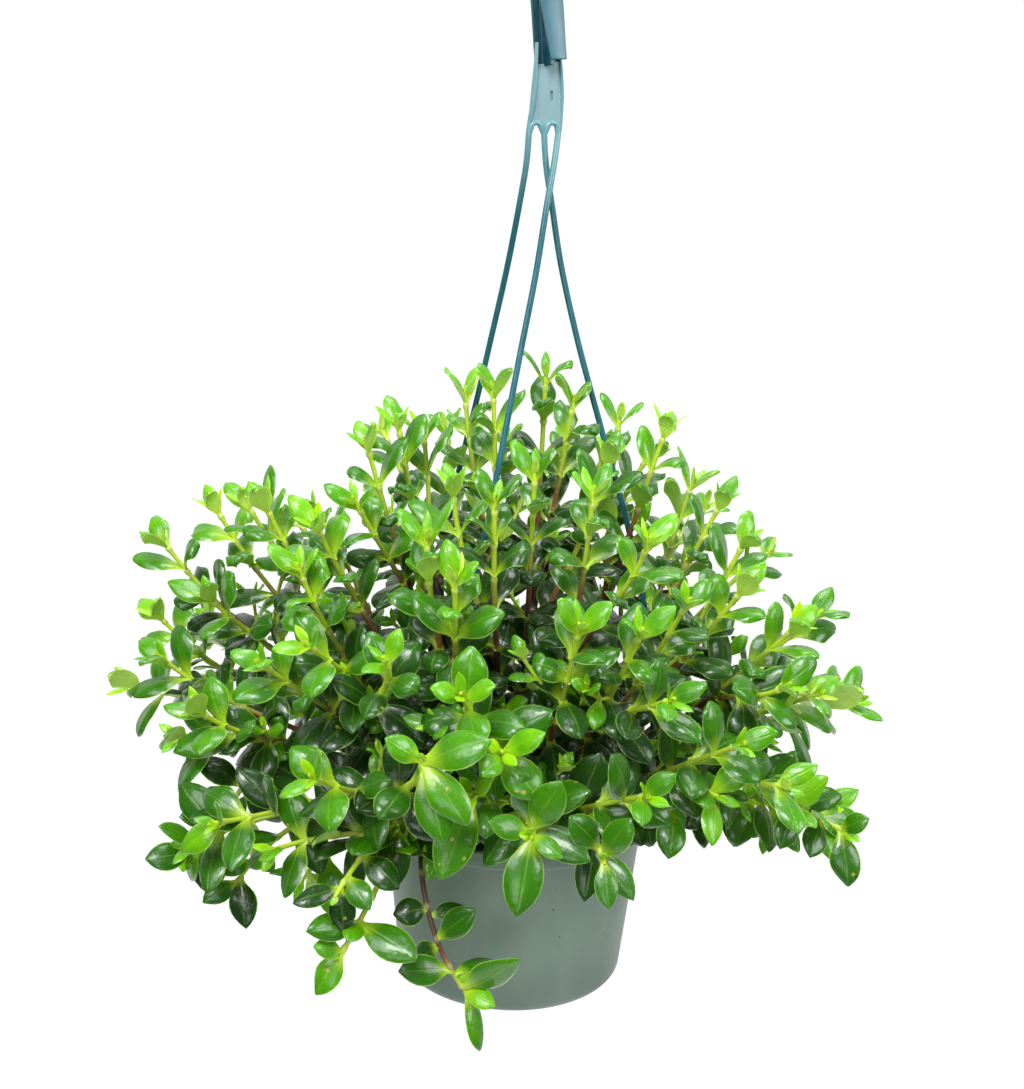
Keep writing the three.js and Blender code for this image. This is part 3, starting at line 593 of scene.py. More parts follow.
# Each leg starts thinner, inside its prong, and has its full width nine points down.
clip_reach = rim_radius + clearance + leg_width / 2
prong_share, share_added = 0.55, 0.05
leg_paths, rod_thickness = [], []
for bearing, points in legs:
    x, y = clip_reach * math.cos(math.radians(bearing)), clip_reach * math.sin(math.radians(bearing))
    leg_paths.append(smooth_through(points + [(x, y, pot_height + 36), (x, y, pot_height + 2)], 8))
    rod_thickness += [leg_width / 2 * MM * min(prong_share + share_added * k, 1)
                      for k in range(len(leg_paths[-1]))]
# The legs' tops run round the two arches as a rounded rim. It thins out into each leg over two of its points.
rim_end, rim_near_end, rim_thick, rim_steps, low_point, high_point = 0.9, 1.5, 1.6, 13, 12, 9
arch_rims = []
for centre, left_leg, right_leg in ((arch_centres[0], 2, 1), (arch_centres[1], 0, 2)):
    around = arc(centre, arch_top - arch_radius - 0.4, arch_radius, 170, 10, rim_steps)
    arch_rims.append([Vector(leg_paths[left_leg][k]) for k in (low_point, high_point)]
                     + [on_hanger(x, height, 0.2) for x, height in around]
                     + [Vector(leg_paths[right_leg][k]) for k in (high_point, low_point)])
    thinned = [rim_end * MM, rim_near_end * MM]
    rod_thickness += thinned + [rim_thick * MM] * rim_steps + thinned[::-1]
leg_rods = grown("hanger_legs", lines_with("leg_lines", leg_paths + arch_rims, thickness=rod_thickness),
                 rods_tree, {"Sides": 16, "Finish": glossy_teal})
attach(leg_rods, "root")
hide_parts("hanger")

# ---- Shoots ----
# The plant is a clump of rooted cuttings. Each stem rises out of the peat, turns outwards and forks; it is
# woody and brown below, and green and square-shouldered near its tips.
stem_radius, fork_radius, side_radius, tip_radius, root_depth = 1.9, 1.55, 1.05, 1.0, 12
least_rise, seed = 62, 7
dome_middle, dome_foot, dome_wide, dome_deep, dome_high = -12, 115, 200, 185, 225
# Each stem's shoots, the rooted one first: the tip, how steeply it ends, and for a fork the share of the
# rooted shoot's length where it starts. A trailing stem also has the turn of its start, the bearing of its
# end and, for one, how straight it hangs.
stems = [
    [((9, 22, 351), 88), ((24, -8, 343), 84, 0.4)],
    [((-20, -4, 347), 86), ((-36, 26, 338), 84, 0.45)],
    [((76, -2, 328), 74), ((52, 30, 326), 80, 0.5)],
    [((4, -60, 315), 85), ((42, -48, 322), 82, 0.45)],
    [((33, -92, 313), 86), ((62, -98, 290), 70, 0.5)],
    [((-16, -98, 309), 88), ((-38, -70, 308), 84, 0.5)],
    [((-49, -115, 294), 84), ((-34, -134, 278), 78, 0.45)],
    [((-70, -28, 332), 80), ((-58, -2, 322), 80, 0.55)],
    [((-85, -48, 325), 74), ((-88, -76, 300), 60, 0.55)],
    [((-107, -88, 290), 62)],
    [((-113, -106, 272), 68), ((-106, -132, 241), 40, 0.5)],
    [((-139, -46, 289), 66), ((-152, -24, 283), 62, 0.55)],
    [((-174, 6, 272), 62), ((-150, 34, 268), 60, 0.55)],
    [((-201, -10, 256), 56), ((-172, -34, 232), 48, 0.6)],
    [((-208, 8, 206), 50), ((-186, 40, 196), 44, 0.6)],
    [((-196, -46, 200), 44), ((-218, -22, 174), 14, 0.55)],
    [((-186, -62, 160), 6), ((-168, -88, 186), 40, 0.5)],
    [((-130, -122, 226), 40), ((-66, -148, 240), 50, 0.55)],
    [((-154, -128, 141), 8), ((-172, -104, 116), -14, 0.6)],
    [((-100, -156, 181), 36), ((-46, -172, 198), 50, 0.55)],
    [((-88, -150, 116), -34), ((-124, -132, 128), -6, 0.6)],
    [((-88, -144, 76), -58, -8, 190)],
    [((-22, -125, 48), -52, -30, 40, 0.7)],
    [((-28, -160, 228), 40), ((-8, -162, 200), 30, 0.6)],
    [((27, -142, 258), 66)],
    [((58, -134, 254), 60), ((74, -146, 224), 30, 0.55)],
    [((8, -160, 156), -4), ((-22, -150, 172), 20, 0.6)],
    [((44, -156, 142), -24), ((64, -154, 176), 24, 0.6)],
    [((111, -132, 196), 34), ((104, -116, 160), 0, 0.6)],
    [((82, -114, 264), 60)],
    [((113, -88, 264), 56), ((116, -60, 282), 66, 0.55)],
    [((108, -12, 290), 66), ((96, 30, 290), 66, 0.55)],
    [((146, -62, 236), 50), ((138, -94, 214), 40, 0.6)],
    [((159, -70, 201), 28), ((186, -30, 182), 20, 0.6)],
    [((138, -114, 166), 10)],
    [((172, -56, 125), -2), ((150, -84, 140), 4, 0.6)],
    [((167, -8, 226), 46), ((186, 22, 170), 12, 0.5)],
]
front_stems = len(stems)
# The two trailing ones hang down past the pot, bare for most of their length. The bark of one is brown
# nearly to its tip.
bare_shares, soon_woody = {21: 0.6, 22: 0.72}, {22: 34}


def chance(*keys):
    """A seeded draw from 0 to 1 that depends only on its keys."""
    mixed = seed + sum((key + 1) * (12.9898 + 65.24 * place) for place, key in enumerate(keys))
    return math.sin(mixed) * 43758.5453 % 1


def on_dome(bearing, rise, share):
    """A point of the crown's rough dome, at a share of its size."""
    level_part = share * math.cos(math.radians(rise))
    return (dome_middle + dome_wide * level_part * math.cos(math.radians(bearing)),
            dome_deep * level_part * math.sin(math.radians(bearing)),
            dome_foot + dome_high * share * math.sin(math.radians(rise)))


# On the far side the tips are spread over the same dome in three tiers, most with a fork beside them.
for tier, (rise, first, step, count, fork) in enumerate([(62, 22, 41, 4, -14), (38, 12, 27, 6, 12),
                                                         (12, 32, 29, 5, 0)]):
    for place in range(count):
        bearing = first + step * place + 8 * (chance(tier, place, 1) - 0.5)
        share = 0.92 + 0.1 * chance(tier, place, 2)
        steep = rise * 0.75 + 8
        shoots = [(on_dome(bearing, rise, share), steep)]
        if fork:
            shoots.append((on_dome(bearing + fork, rise + 10, share * 0.95), steep + 10, 0.55))
        stems.append(shoots)


def heading(bearing, rise):
    """A direction, from its bearing and its rise above the level in degrees."""
    bearing, rise = math.radians(bearing), math.radians(rise)
    return np.array([math.cos(rise) * math.cos(bearing), math.cos(rise) * math.sin(bearing), math.sin(rise)])


def unit(vector):
    """The vector's direction, one long."""
    return vector / np.linalg.norm(vector)


class Shoot:
    """A shoot's middle line: a Bezier curve, measured along its length in millimetres from its start."""

    def __init__(self, start, leave, leave_by, end, arrive, arrive_by):
        t = np.linspace(0, 1, 161)[:, None]
        a, b, c, d = start, start + leave * leave_by, end - arrive * arrive_by, end
        self.points = (1 - t) ** 3 * a + 3 * (1 - t) ** 2 * t * b + 3 * (1 - t) * t ** 2 * c + t ** 3 * d
        steps = np.linalg.norm(np.diff(self.points, axis=0), axis=1)
        self.reach = np.concatenate([[0], np.cumsum(steps)])
        self.length = self.reach[-1]
        self.chord = end - start
        self.end, self.arrive = end, arrive
        # How far apart its leaf pairs stand, which is further where it ends high up.
        height = min(max(end[2] / 100 - 2.2, 0), 1)
        self.spread = 1.1 + 0.2 * chance(*(round(float(part)) for part in end)) + 0.3 * height

    def at(self, distance):
        """The point at a distance along the shoot, or straight on past its end."""
        if distance > self.length:
            return self.end + self.arrive * (distance - self.length)
        return np.array([np.interp(distance, self.reach, self.points[:, k]) for k in range(3)])

    def frame(self, distance):
        """The direction along the shoot, and the level and the square direction across it."""
        distance = min(distance, self.length - 1)
        along = unit(self.at(distance + 1) - self.at(max(distance - 1, 0)))
        sideways = np.cross(self.chord, (0, 0, 1))
        sideways = unit(sideways - along * sideways.dot(along))
        return along, sideways, np.cross(along, sideways)


def bearing_of(point):
    """The bearing of a point from the pot's axis."""
    return math.degrees(math.atan2(point[1], point[0]))


def rooted_shoot(tip, steep, turn=0, ends=None, hang=0.38):
    """A shoot out of the soil. The steeper the way to its tip, the nearer to the middle it is rooted."""
    bearing = bearing_of(tip)
    lean = math.degrees(math.atan2(tip[2] - soil_edge, math.hypot(tip[0], tip[1])))
    root_reach = 6 + 50 * math.cos(math.radians(max(lean, 0)))
    root = heading(bearing + turn, 0) * root_reach
    root[2] = soil_height(root_reach) + 1.5
    tip = np.array(tip, float)
    gap = np.linalg.norm(tip - root)
    leave = heading(bearing + turn, max(90 - (90 - lean) * 0.55, 58))
    arrive = heading(bearing if ends is None else ends, steep)
    return Shoot(root, leave, max(0.38 * gap, least_rise), tip, arrive, hang * gap)


def forked_shoot(main, tip, steep, share):
    """A shoot that leaves another at a share of its length."""
    start = main.at(share * main.length)
    tip = np.array(tip, float)
    pull = 0.35 * np.linalg.norm(tip - start)
    leave = unit((main.frame(share * main.length)[0] + unit(tip - start)) / 2)
    return Shoot(start, leave, pull, tip, heading(bearing_of(tip), steep), pull)


def joint_of(shoot, order):
    """How far along a shoot a leaf pair stands. Pairs lie further apart the older they are."""
    return shoot.length - (5 + 12 * order + 0.5 * order ** 2) * shoot.spread


plants = []
for stem in stems:
    main = rooted_shoot(*stem[0])
    plants.append([main] + [forked_shoot(main, *fork) for fork in stem[1:]])


# Low forks that lean over the rim: the stem they leave, where along it, their tip, and how steeply it ends.
low_forks = [
    (19, 0.4, (-60, -108, 116), -40), (21, 0.3, (-40, -102, 120), -30), (22, 0.35, (-70, -104, 120), -35),
    (18, 0.5, (-150, -95, 86), -60), (20, 0.5, (-113, -98, 94), -50), (35, 0.6, (180, -76, 124), -20),
    (27, 0.4, (84, -95, 142), -30), (16, 0.6, (-180, -92, 99), -26),
]
for stem_number, share, tip, steep in low_forks:
    plants[stem_number].append(forked_shoot(plants[stem_number][0], tip, steep, share))


def side_shoots(stem_number, main):
    """Short young shoots from the leaf joints further down the stem, where light reaches in."""
    found = []
    if stem_number in bare_shares:
        return found
    share_grown = 0.8 if main.end[2] < 260 else 0.5
    for order in range(3, 9):
        distance = joint_of(main, order)
        if distance < 0.2 * main.length or chance(stem_number, order, 41) > share_grown:
            continue
        along, sideways, square = main.frame(distance)
        turn = 2 * math.pi * chance(stem_number, order, 42)
        out = sideways * math.cos(turn) + square * math.sin(turn)
        start = main.at(distance)
        reach = 14 + 26 * chance(stem_number, order, 43)
        leave = unit(along * 0.6 + out)
        arrive = unit(along * 0.5 + out * 0.7 + np.array([0, 0, 0.7]))
        end = start + unit(leave + arrive) * reach
        found.append(Shoot(start, leave, reach * 0.35, end, arrive, reach * 0.35))
    return found


# Young bark is green and a little glossy. It turns brown and corky from below, in patches about 4 mm across,
# with a pale ring and a bump at each joint. The cork's grain is drawn 1.1 mm wide so that it shows.
stem_bark, tree, shader = finish_of("stem_bark", roughness=0.5, ior=1.45)
place = add(tree, "ShaderNodeTexCoord").outputs["Object"]
old = add(tree, "ShaderNodeAttribute", {"attribute_name": "oldness"}).outputs["Fac"]
joint = add(tree, "ShaderNodeAttribute", {"attribute_name": "joint"}).outputs["Fac"]
mottle = add(tree, "ShaderNodeTexNoise", {}, {"Vector": place, "Scale": 260.0, "Detail": 5.0}).outputs["Fac"]
aged = add(tree, "ShaderNodeMath", {"operation": "MULTIPLY_ADD"}, {
    "Value": mottle, "Value_001": 0.24, "Value_002": old}).outputs[0]
shade = add(tree, "ShaderNodeValToRGB", {}, {"Fac": aged})
for k, (position, colour) in enumerate([(0.1, "#AECB2C"), (0.4, "#9DB92C"), (0.58, "#8E9434"),
                                        (0.7, "#7C5534"), (0.86, "#5E3526"), (1.0, "#402820")]):
    stop = shade.color_ramp.elements[k] if k < 2 else shade.color_ramp.elements.new(position)
    stop.position, stop.color = position, linear(colour)
ringed = add(tree, "ShaderNodeMath", {"operation": "MULTIPLY"}, {
    "Value": joint, "Value_001": 0.45}).outputs[0]
scarred = add(tree, "ShaderNodeMix", {"data_type": "RGBA"}, {
    "Factor_Float": ringed, "A_Color": shade.outputs[0], "B_Color": linear("#B9B27A")}).outputs[2]
tree.links.new(scarred, shader.inputs["Base Color"])
cork = add(tree, "ShaderNodeTexNoise", {}, {"Vector": place, "Scale": 900.0, "Detail": 4.0}).outputs["Fac"]
bump = add(tree, "ShaderNodeBump", {}, {"Height": cork, "Strength": 0.5, "Distance": 0.0005})
tree.links.new(bump.outputs[0], shader.inputs["Normal"])


def wood_points(shoot, orders, thick_start, thick_end, from_root):
    """A shoot's points with thickness, oldness and joints: four points to a joint, so that it swells."""
    joints = [joint_of(shoot, order) for order in orders]
    joints = [d for d in joints if d > 3]
    stops = set(np.linspace(0, shoot.length, max(int(shoot.length / 6), 4)))
    stops |= {d + by for d in joints for by in (-2.2, -0.8, 0.8, 2.2) if 0 < d + by < shoot.length}
    run, thickness, joint_marks = [], [], []
    if from_root:
        base = shoot.at(0)
        for depth in (root_depth, root_depth / 2):
            run.append(base - np.array([0, 0, depth]))
            thickness.append(thick_start)
            joint_marks.append(0)
    for d in sorted(stops):
        swell = max([math.exp(-((d - j) / 1.4) ** 2) for j in joints], default=0)
        share = d / shoot.length
        run.append(shoot.at(d))
        plain = thick_start + (thick_end - thick_start) * share
        thickness.append(plain * (1 + (0.3 + 0.3 * share ** 4) * swell))
        joint_marks.append(swell)
    run.append(shoot.at(shoot.length + 3))
    thickness.append(thick_end * 0.6)
    joint_marks.append(0)
    return run, thickness, joint_marks


# ---- Leaves ----
# Thick, waxy leaves in opposite pairs, each pair turned a quarter from the last. They leave the stem on a
# short yellow stalk, bend outwards and down, and end in a point; each half is domed beside a sunken rib.
# The blade's width at shares of its length, and the bends and twists in degrees that it is made in.
blade_stations = [(0, 0.3), (0.06, 0.24), (0.13, 0.36), (0.22, 0.6), (0.32, 0.83), (0.42, 0.96), (0.54, 1),
                  (0.66, 0.93), (0.78, 0.74), (0.885, 0.46), (0.955, 0.19)]
blade_bends = (-25, 12, 34, 56, 78, 100)
blade_twists = (-20, 0, 18)
# A blade turns most near its stalk, by this power of what is left of its length. Its mean turn, which is that
# of the straight line from stalk to tip, is then this many times half its bend.
bend_power, turn_to_chord = 2.4, 1.41


def blade_mesh(name, bend, twist):
    """A leaf one long and one wide, along +X, its face to +Z, closed and pointed."""
    steps, count = 60, 6
    shares = np.linspace(0, 1, steps + 1)
    turns = math.radians(bend) * (1 - (1 - shares) ** bend_power)
    line_x, line_z = np.cumsum(np.cos(turns)) / steps - 1 / steps, -np.cumsum(np.sin(turns)) / steps

    def carry(share, y, z):
        """Bends a point of the flat leaf with its middle line."""
        turn, around = np.interp(share, shares, turns), math.radians(twist) * share ** 1.5
        y, z = y * math.cos(around) - z * math.sin(around), y * math.sin(around) + z * math.cos(around)
        return (np.interp(share, shares, line_x) + z * math.sin(turn), y,
                np.interp(share, shares, line_z) + z * math.cos(turn))

    points, flat = [], []
    for share, width in blade_stations:
        half = width / 2
        dome = 0.23 * half + 0.03
        below = 0.75 * dome - 0.1 + 0.05 * width
        wave = 0.07 * half * math.sin(7 * share + twist)
        # Across it: a margin, a dome, the sunken rib, the other dome and margin, and the underside.
        row = [(-1, wave), (-0.58, dome), (0, dome * 0.74), (0.58, dome), (1, -wave), (0, below)]
        for v, z in row:
            points.append(carry(share, v * half, z))
            flat.append((share, v))
    tip = len(points)
    points.append(carry(1, 0, 0))
    flat.append((1, 0))
    faces, under = [tuple(range(count))], [0]
    for ring in range(len(blade_stations)):
        for k in range(count):
            a, n = ring * count, (k + 1) % count
            if ring + 1 < len(blade_stations):
                faces.append((a + n, a + k, a + count + k, a + count + n))
            else:
                faces.append((a + n, a + k, tip))
            under.append(1 if k >= 4 else 0)
    mesh = bpy.data.meshes.new(name)
    mesh.from_pydata(points, [], faces)
    mesh.shade_smooth()
    mesh.set_sharp_from_angle(angle=math.radians(75))
    uv = mesh.uv_layers.new(name="UVMap")
    for loop in mesh.loops:
        share, v = flat[loop.vertex_index]
        uv.data[loop.index].uv = (share, (v + 1) / 2)
    mesh.attributes.new("underside", "FLOAT", "FACE").data.foreach_set("value", under)
    return mesh


blades = bpy.data.collections.new("blades")
bpy.context.scene.collection.children.link(blades)
for number, (bend, twist) in enumerate((b, t) for b in blade_bends for t in blade_twists):
    name = f"blade_{number:02d}"
    blades.objects.link(bpy.data.objects.new(name, blade_mesh(name, bend, twist)))

# A smooth, waxy cuticle over thick green tissue: small sharp highlights lie on a softer gloss, and a little
# light passes through, greener. A leaf is yellow-green when young and dark when old, mottled in patches
# 11 mm across, with a painted highlight as a pale rim along its margin. Its underside is paler and duller,
# and lighter still with painted light standing in for light shining through.
leaf_skin, tree, shader = finish_of(
    "waxy_leaf_skin", roughness=0.3, ior=1.45, specular_ior_level=0.42, coat_weight=0.42, coat_roughness=0.12,
    coat_ior=1.45, subsurface_weight=0.35, subsurface_radius=(0.5, 1.0, 0.12), subsurface_scale=0.0022)
place = add(tree, "ShaderNodeTexCoord").outputs["Object"]
flat_place = add(tree, "ShaderNodeUVMap", {"uv_map": "UVMap"}).outputs[0]
parts = add(tree, "ShaderNodeSeparateXYZ", {}, {"Vector": flat_place}).outputs
age = add(tree, "ShaderNodeAttribute", {"attribute_name": "age"}).outputs["Fac"]
luck = add(tree, "ShaderNodeAttribute", {"attribute_name": "luck"}).outputs["Fac"]
underside = add(tree, "ShaderNodeAttribute", {"attribute_name": "underside"}).outputs["Fac"]
# Distance from the rib: 0 on it, 1 at the margin.
offset = add(tree, "ShaderNodeMath", {"operation": "MULTIPLY_ADD"}, {
    "Value": parts["Y"], "Value_001": 2.0, "Value_002": -1.0}).outputs[0]
from_rib = add(tree, "ShaderNodeMath", {"operation": "ABSOLUTE"}, {"Value": offset}).outputs[0]
mottle = add(tree, "ShaderNodeTexNoise", {}, {"Vector": place, "Scale": 90.0, "Detail": 4.0}).outputs["Fac"]
mottled = add(tree, "ShaderNodeMath", {"operation": "MULTIPLY_ADD"}, {
    "Value": mottle, "Value_001": 0.24, "Value_002": -0.12}).outputs[0]
aged = add(tree, "ShaderNodeMath", {"operation": "ADD"}, {"Value": age, "Value_001": mottled}).outputs[0]
shade = add(tree, "ShaderNodeValToRGB", {}, {"Fac": aged})
for k, (position, colour) in enumerate([(0.0, "#A2D008"), (0.16, "#74B402"), (0.32, "#4A8E00"),
                                        (0.52, "#2C6802"), (0.76, "#154004"), (1.0, "#092A04")]):
    stop = shade.color_ramp.elements[k] if k < 2 else shade.color_ramp.elements.new(position)
    stop.position, stop.color = position, linear(colour)
# The colour of the stalk runs up into the blade, further in a young leaf.
reach = add(tree, "ShaderNodeMapRange", {}, {
    "Value": age, "From Min": 0.1, "From Max": 0.8, "To Min": 0.5, "To Max": 0.22}).outputs[0]
near_stalk = add(tree, "ShaderNodeMapRange", {"interpolation_type": "SMOOTHSTEP"}, {
    "Value": parts["X"], "From Min": reach, "From Max": 0.02, "To Max": 0.85}).outputs[0]
rib = add(tree, "ShaderNodeMapRange", {"interpolation_type": "SMOOTHSTEP"}, {
    "Value": from_rib, "From Min": 0.08, "From Max": 0.0, "To Max": 0.22}).outputs[0]
ribbed = add(tree, "ShaderNodeMix", {"data_type": "RGBA"}, {
    "Factor_Float": rib, "A_Color": shade.outputs[0], "B_Color": linear("#86B02C")}).outputs[2]
# Painted highlight: a pale rim along the margin, where light would catch the rounded edge and shine through
# it.
painted_rim_light = add(tree, "ShaderNodeMapRange", {"interpolation_type": "SMOOTHSTEP"}, {
    "Value": from_rib, "From Min": 0.93, "From Max": 0.99, "To Max": 0.6}).outputs[0]
rim_lit = add(tree, "ShaderNodeMix", {"data_type": "RGBA"}, {
    "Factor_Float": painted_rim_light, "A_Color": ribbed, "B_Color": linear("#A4C85C")}).outputs[2]
# The underside is paler in its own colour, and lighter still with painted light standing in for light shining
# through.
below = add(tree, "ShaderNodeMix", {"data_type": "RGBA"}, {
    "Factor_Float": aged, "A_Color": linear("#C6E860"), "B_Color": linear("#A6D05C")}).outputs[2]
both_faces = add(tree, "ShaderNodeMix", {"data_type": "RGBA"}, {
    "Factor_Float": underside, "A_Color": rim_lit, "B_Color": below}).outputs[2]
stalked = add(tree, "ShaderNodeMix", {"data_type": "RGBA"}, {
    "Factor_Float": near_stalk, "A_Color": both_faces, "B_Color": linear("#ACCE2A")}).outputs[2]
# Some leaves carry flecks of dried water, half a millimetre across, and a few have a tan scar of 2 mm.
fleck = add(tree, "ShaderNodeTexVoronoi", {}, {"Vector": place, "Scale": 520.0}).outputs["Distance"]
fleck_here = add(tree, "ShaderNodeMapRange", {}, {
    "Value": fleck, "From Min": 0.15, "From Max": 0.09, "To Max": 0.36}).outputs[0]
fleck_where = add(tree, "ShaderNodeMapRange", {}, {
    "Value": mottle, "From Min": 0.56, "From Max": 0.6}).outputs[0]
fleck_old = add(tree, "ShaderNodeMapRange", {}, {
    "Value": age, "From Min": 0.28, "From Max": 0.5, "To Max": 1.0}).outputs[0]
fleck_who = add(tree, "ShaderNodeMapRange", {}, {
    "Value": luck, "From Min": 0.35, "From Max": 0.45, "To Max": fleck_old}).outputs[0]
fleck_there = add(tree, "ShaderNodeMath", {"operation": "MULTIPLY"}, {
    "Value": fleck_where, "Value_001": fleck_who}).outputs[0]
flecks = add(tree, "ShaderNodeMath", {"operation": "MULTIPLY"}, {
    "Value": fleck_here, "Value_001": fleck_there}).outputs[0]
flecked = add(tree, "ShaderNodeMix", {"data_type": "RGBA"}, {
    "Factor_Float": flecks, "A_Color": stalked, "B_Color": linear("#C9DCC0")}).outputs[2]
scar = add(tree, "ShaderNodeTexVoronoi", {}, {"Vector": place, "Scale": 95.0}).outputs["Distance"]
scar_here = add(tree, "ShaderNodeMapRange", {}, {
    "Value": scar, "From Min": 0.13, "From Max": 0.08, "To Max": 0.6}).outputs[0]
scar_who = add(tree, "ShaderNodeMapRange", {}, {"Value": luck, "From Min": 0.84, "From Max": 0.88}).outputs[0]
scars = add(tree, "ShaderNodeMath", {"operation": "MULTIPLY"}, {
    "Value": scar_here, "Value_001": scar_who}).outputs[0]
scarred = add(tree, "ShaderNodeMix", {"data_type": "RGBA"}, {
    "Factor_Float": scars, "A_Color": flecked, "B_Color": linear("#B8A24E")}).outputs[2]
tree.links.new(scarred, shader.inputs["Base Color"])
glossy = add(tree, "ShaderNodeMapRange", {}, {
    "Value": mottle, "From Min": 0.3, "From Max": 0.7, "To Min": 0.24, "To Max": 0.38}).outputs[0]
less_glossy = add(tree, "ShaderNodeMath", {"operation": "MULTIPLY_ADD"}, {
    "Value": underside, "Value_001": 0.28, "Value_002": glossy}).outputs[0]
tree.links.new(less_glossy, shader.inputs["Roughness"])
# The groove of the rib, fine lines along the blade, and the soft ripples, 4 mm wide, that break up its
# highlights.
groove = add(tree, "ShaderNodeMapRange", {"interpolation_type": "SMOOTHSTEP"}, {
    "Value": from_rib, "From Min": 0.0, "From Max": 0.14}).outputs[0]
lines = add(tree, "ShaderNodeTexNoise", {}, {
    "Vector": add(tree, "ShaderNodeMapping", {}, {"Vector": flat_place, "Scale": (2.5, 22, 1)}).outputs[0],
    "Scale": 1.0, "Detail": 2.0}).outputs["Fac"]
ripple = add(tree, "ShaderNodeTexNoise", {}, {"Vector": place, "Scale": 260.0, "Detail": 2.0}).outputs["Fac"]
lined = add(tree, "ShaderNodeMath", {"operation": "MULTIPLY_ADD"}, {
    "Value": lines, "Value_001": 0.25, "Value_002": ripple}).outputs[0]
relief = add(tree, "ShaderNodeMath", {"operation": "MULTIPLY_ADD"}, {
    "Value": groove, "Value_001": 0.4, "Value_002": lined}).outputs[0]
bump = add(tree, "ShaderNodeBump", {}, {"Height": relief, "Strength": 1.0, "Distance": 0.00042})
tree.links.new(bump.outputs[0], shader.inputs["Normal"])

# The tree sets one of the blades on each point, along its own direction and turned to its own face.
leaves_tree, given, out = tree_with("leaves_on_shoots", {
    "Blades": "Collection", "Fullness": "Float", "Skin": "Material"})
kinds = add(leaves_tree, "GeometryNodeCollectionInfo", {}, {
    "Collection": given["Blades"], "Separate Children": True, "Reset Children": True})
read = {}
for key, kind in {"along": "FLOAT_VECTOR", "facing": "FLOAT_VECTOR", "long": "FLOAT", "wide": "FLOAT",
                  "blade": "INT"}.items():
    read[key] = add(leaves_tree, "GeometryNodeInputNamedAttribute", {"data_type": kind}, {
        "Name": key}).outputs[0]
pointed = add(leaves_tree, "FunctionNodeAlignRotationToVector", {"axis": "X"}, {"Vector": read["along"]})
faced = add(leaves_tree, "FunctionNodeAlignRotationToVector", {"axis": "Z", "pivot_axis": "X"}, {
    "Rotation": pointed.outputs[0], "Vector": read["facing"]})
full = add(leaves_tree, "ShaderNodeMath", {"operation": "MULTIPLY"}, {
    "Value": read["wide"], "Value_001": given["Fullness"]})
size = add(leaves_tree, "ShaderNodeCombineXYZ", {}, {
    "X": read["long"], "Y": read["wide"], "Z": full.outputs[0]})
grown_leaves = add(leaves_tree, "GeometryNodeInstanceOnPoints", {}, {
    "Points": given["Geometry"], "Instance": kinds.outputs[0], "Pick Instance": True,
    "Instance Index": read["blade"], "Rotation": faced.outputs[0], "Scale": size.outputs[0]})
real = add(leaves_tree, "GeometryNodeRealizeInstances", {}, {"Geometry": grown_leaves.outputs[0]})
coated = add(leaves_tree, "GeometryNodeSetMaterial", {}, {
    "Geometry": real.outputs[0], "Material": given["Skin"]})
leaves_tree.links.new(coated.outputs[0], out.inputs[0])

# For each order of pair, from the bud down: the length against a full leaf, the angle from the stem, how
# far it bends back, how much it droops, and its width against its length.
pair_forms = {-2: (0.14, 6, -25, 0, 0.5), -1: (0.4, 20, 34, 0, 0.42), 0: (0.76, 34, 56, 0, 0.46),
              1: (0.95, 42, 62, 0, 0.49), 2: (1, 48, 58, 0.06, 0.48), 3: (1.02, 54, 52, 0.12, 0.48),
              4: (1, 58, 48, 0.16, 0.48)}
pair_ages = (0.1, 0.24, 0.4, 0.55, 0.67, 0.8, 0.92)
last_form = max(pair_forms)
# A full leaf's length below one height and above another. Between the two, leaves get longer and narrower.
full_low, full_high, low_leaf, high_leaf = 37, 39, 150, 350
to_light = unit(np.array([0.0, -0.45, 0.9]))
# Where a leaf has too little room, it is tried with these turns round the stem and lifts from it, up to the
# first that has enough. It is left out where even the best is crowded.
swings = [(0, 0), (16, 0), (-16, 0), (0, -14), (32, -6), (-32, -6), (0, 12), (24, -22), (-24, -22)]
room_wanted, room_noted, room_crowded, room_in_pot = 0.3, 9.0, -4.5, -5.0
# Of the older leaves that point down, most have dropped from the shoots that end below this height.
low_tip, dropped_share = 160, 0.8
# What is taken is kept as balls, by the cubes of this width that their centres lie in.
cell = 14
taken = {}


def fill(balls, owner):
    """Notes that balls of space are taken by an owner."""
    for centre, radius in balls:
        taken.setdefault(tuple((centre // cell).astype(int)), []).append((centre, radius, owner))


def room_round(balls, owner):
    """The least gap from these balls to those of other stems and other joints, up to what is noted."""
    least = room_noted
    for centre, radius in balls:
        reach = math.hypot(centre[0], centre[1])
        if centre[2] < pot_height + 2 and reach < wall_radius(centre[2]) + radius + 1:
            least = min(least, room_in_pot)
        x, y, z = (centre // cell).astype(int)
        for key in ((x + i, y + j, z + k) for i in (-1, 0, 1) for j in (-1, 0, 1) for k in (-1, 0, 1)):
            for other, other_radius, other_owner in taken.get(key, ()):
                if other_owner != owner:
                    gap = math.dist(centre, other) - radius - other_radius
                    least = min(least, gap)
    return least


def leaf_balls(leaf):
    """Balls strung along a leaf, at shares of its length, to tell whether it meets another."""
    bend = math.radians(leaf["bend"])
    balls = []
    for share, size_of in ((0.3, 0.34), (0.5, 0.42), (0.7, 0.38), (0.9, 0.2)):
        turn = bend * share + 1e-4
        reach = leaf["long"] * share
        centre = (leaf["base"] + leaf["along"] * reach * math.sin(turn) / turn
                  - leaf["facing"] * reach * (1 - math.cos(turn)) / turn)
        balls.append((centre, leaf["wide"] * size_of * 0.6))
    return balls


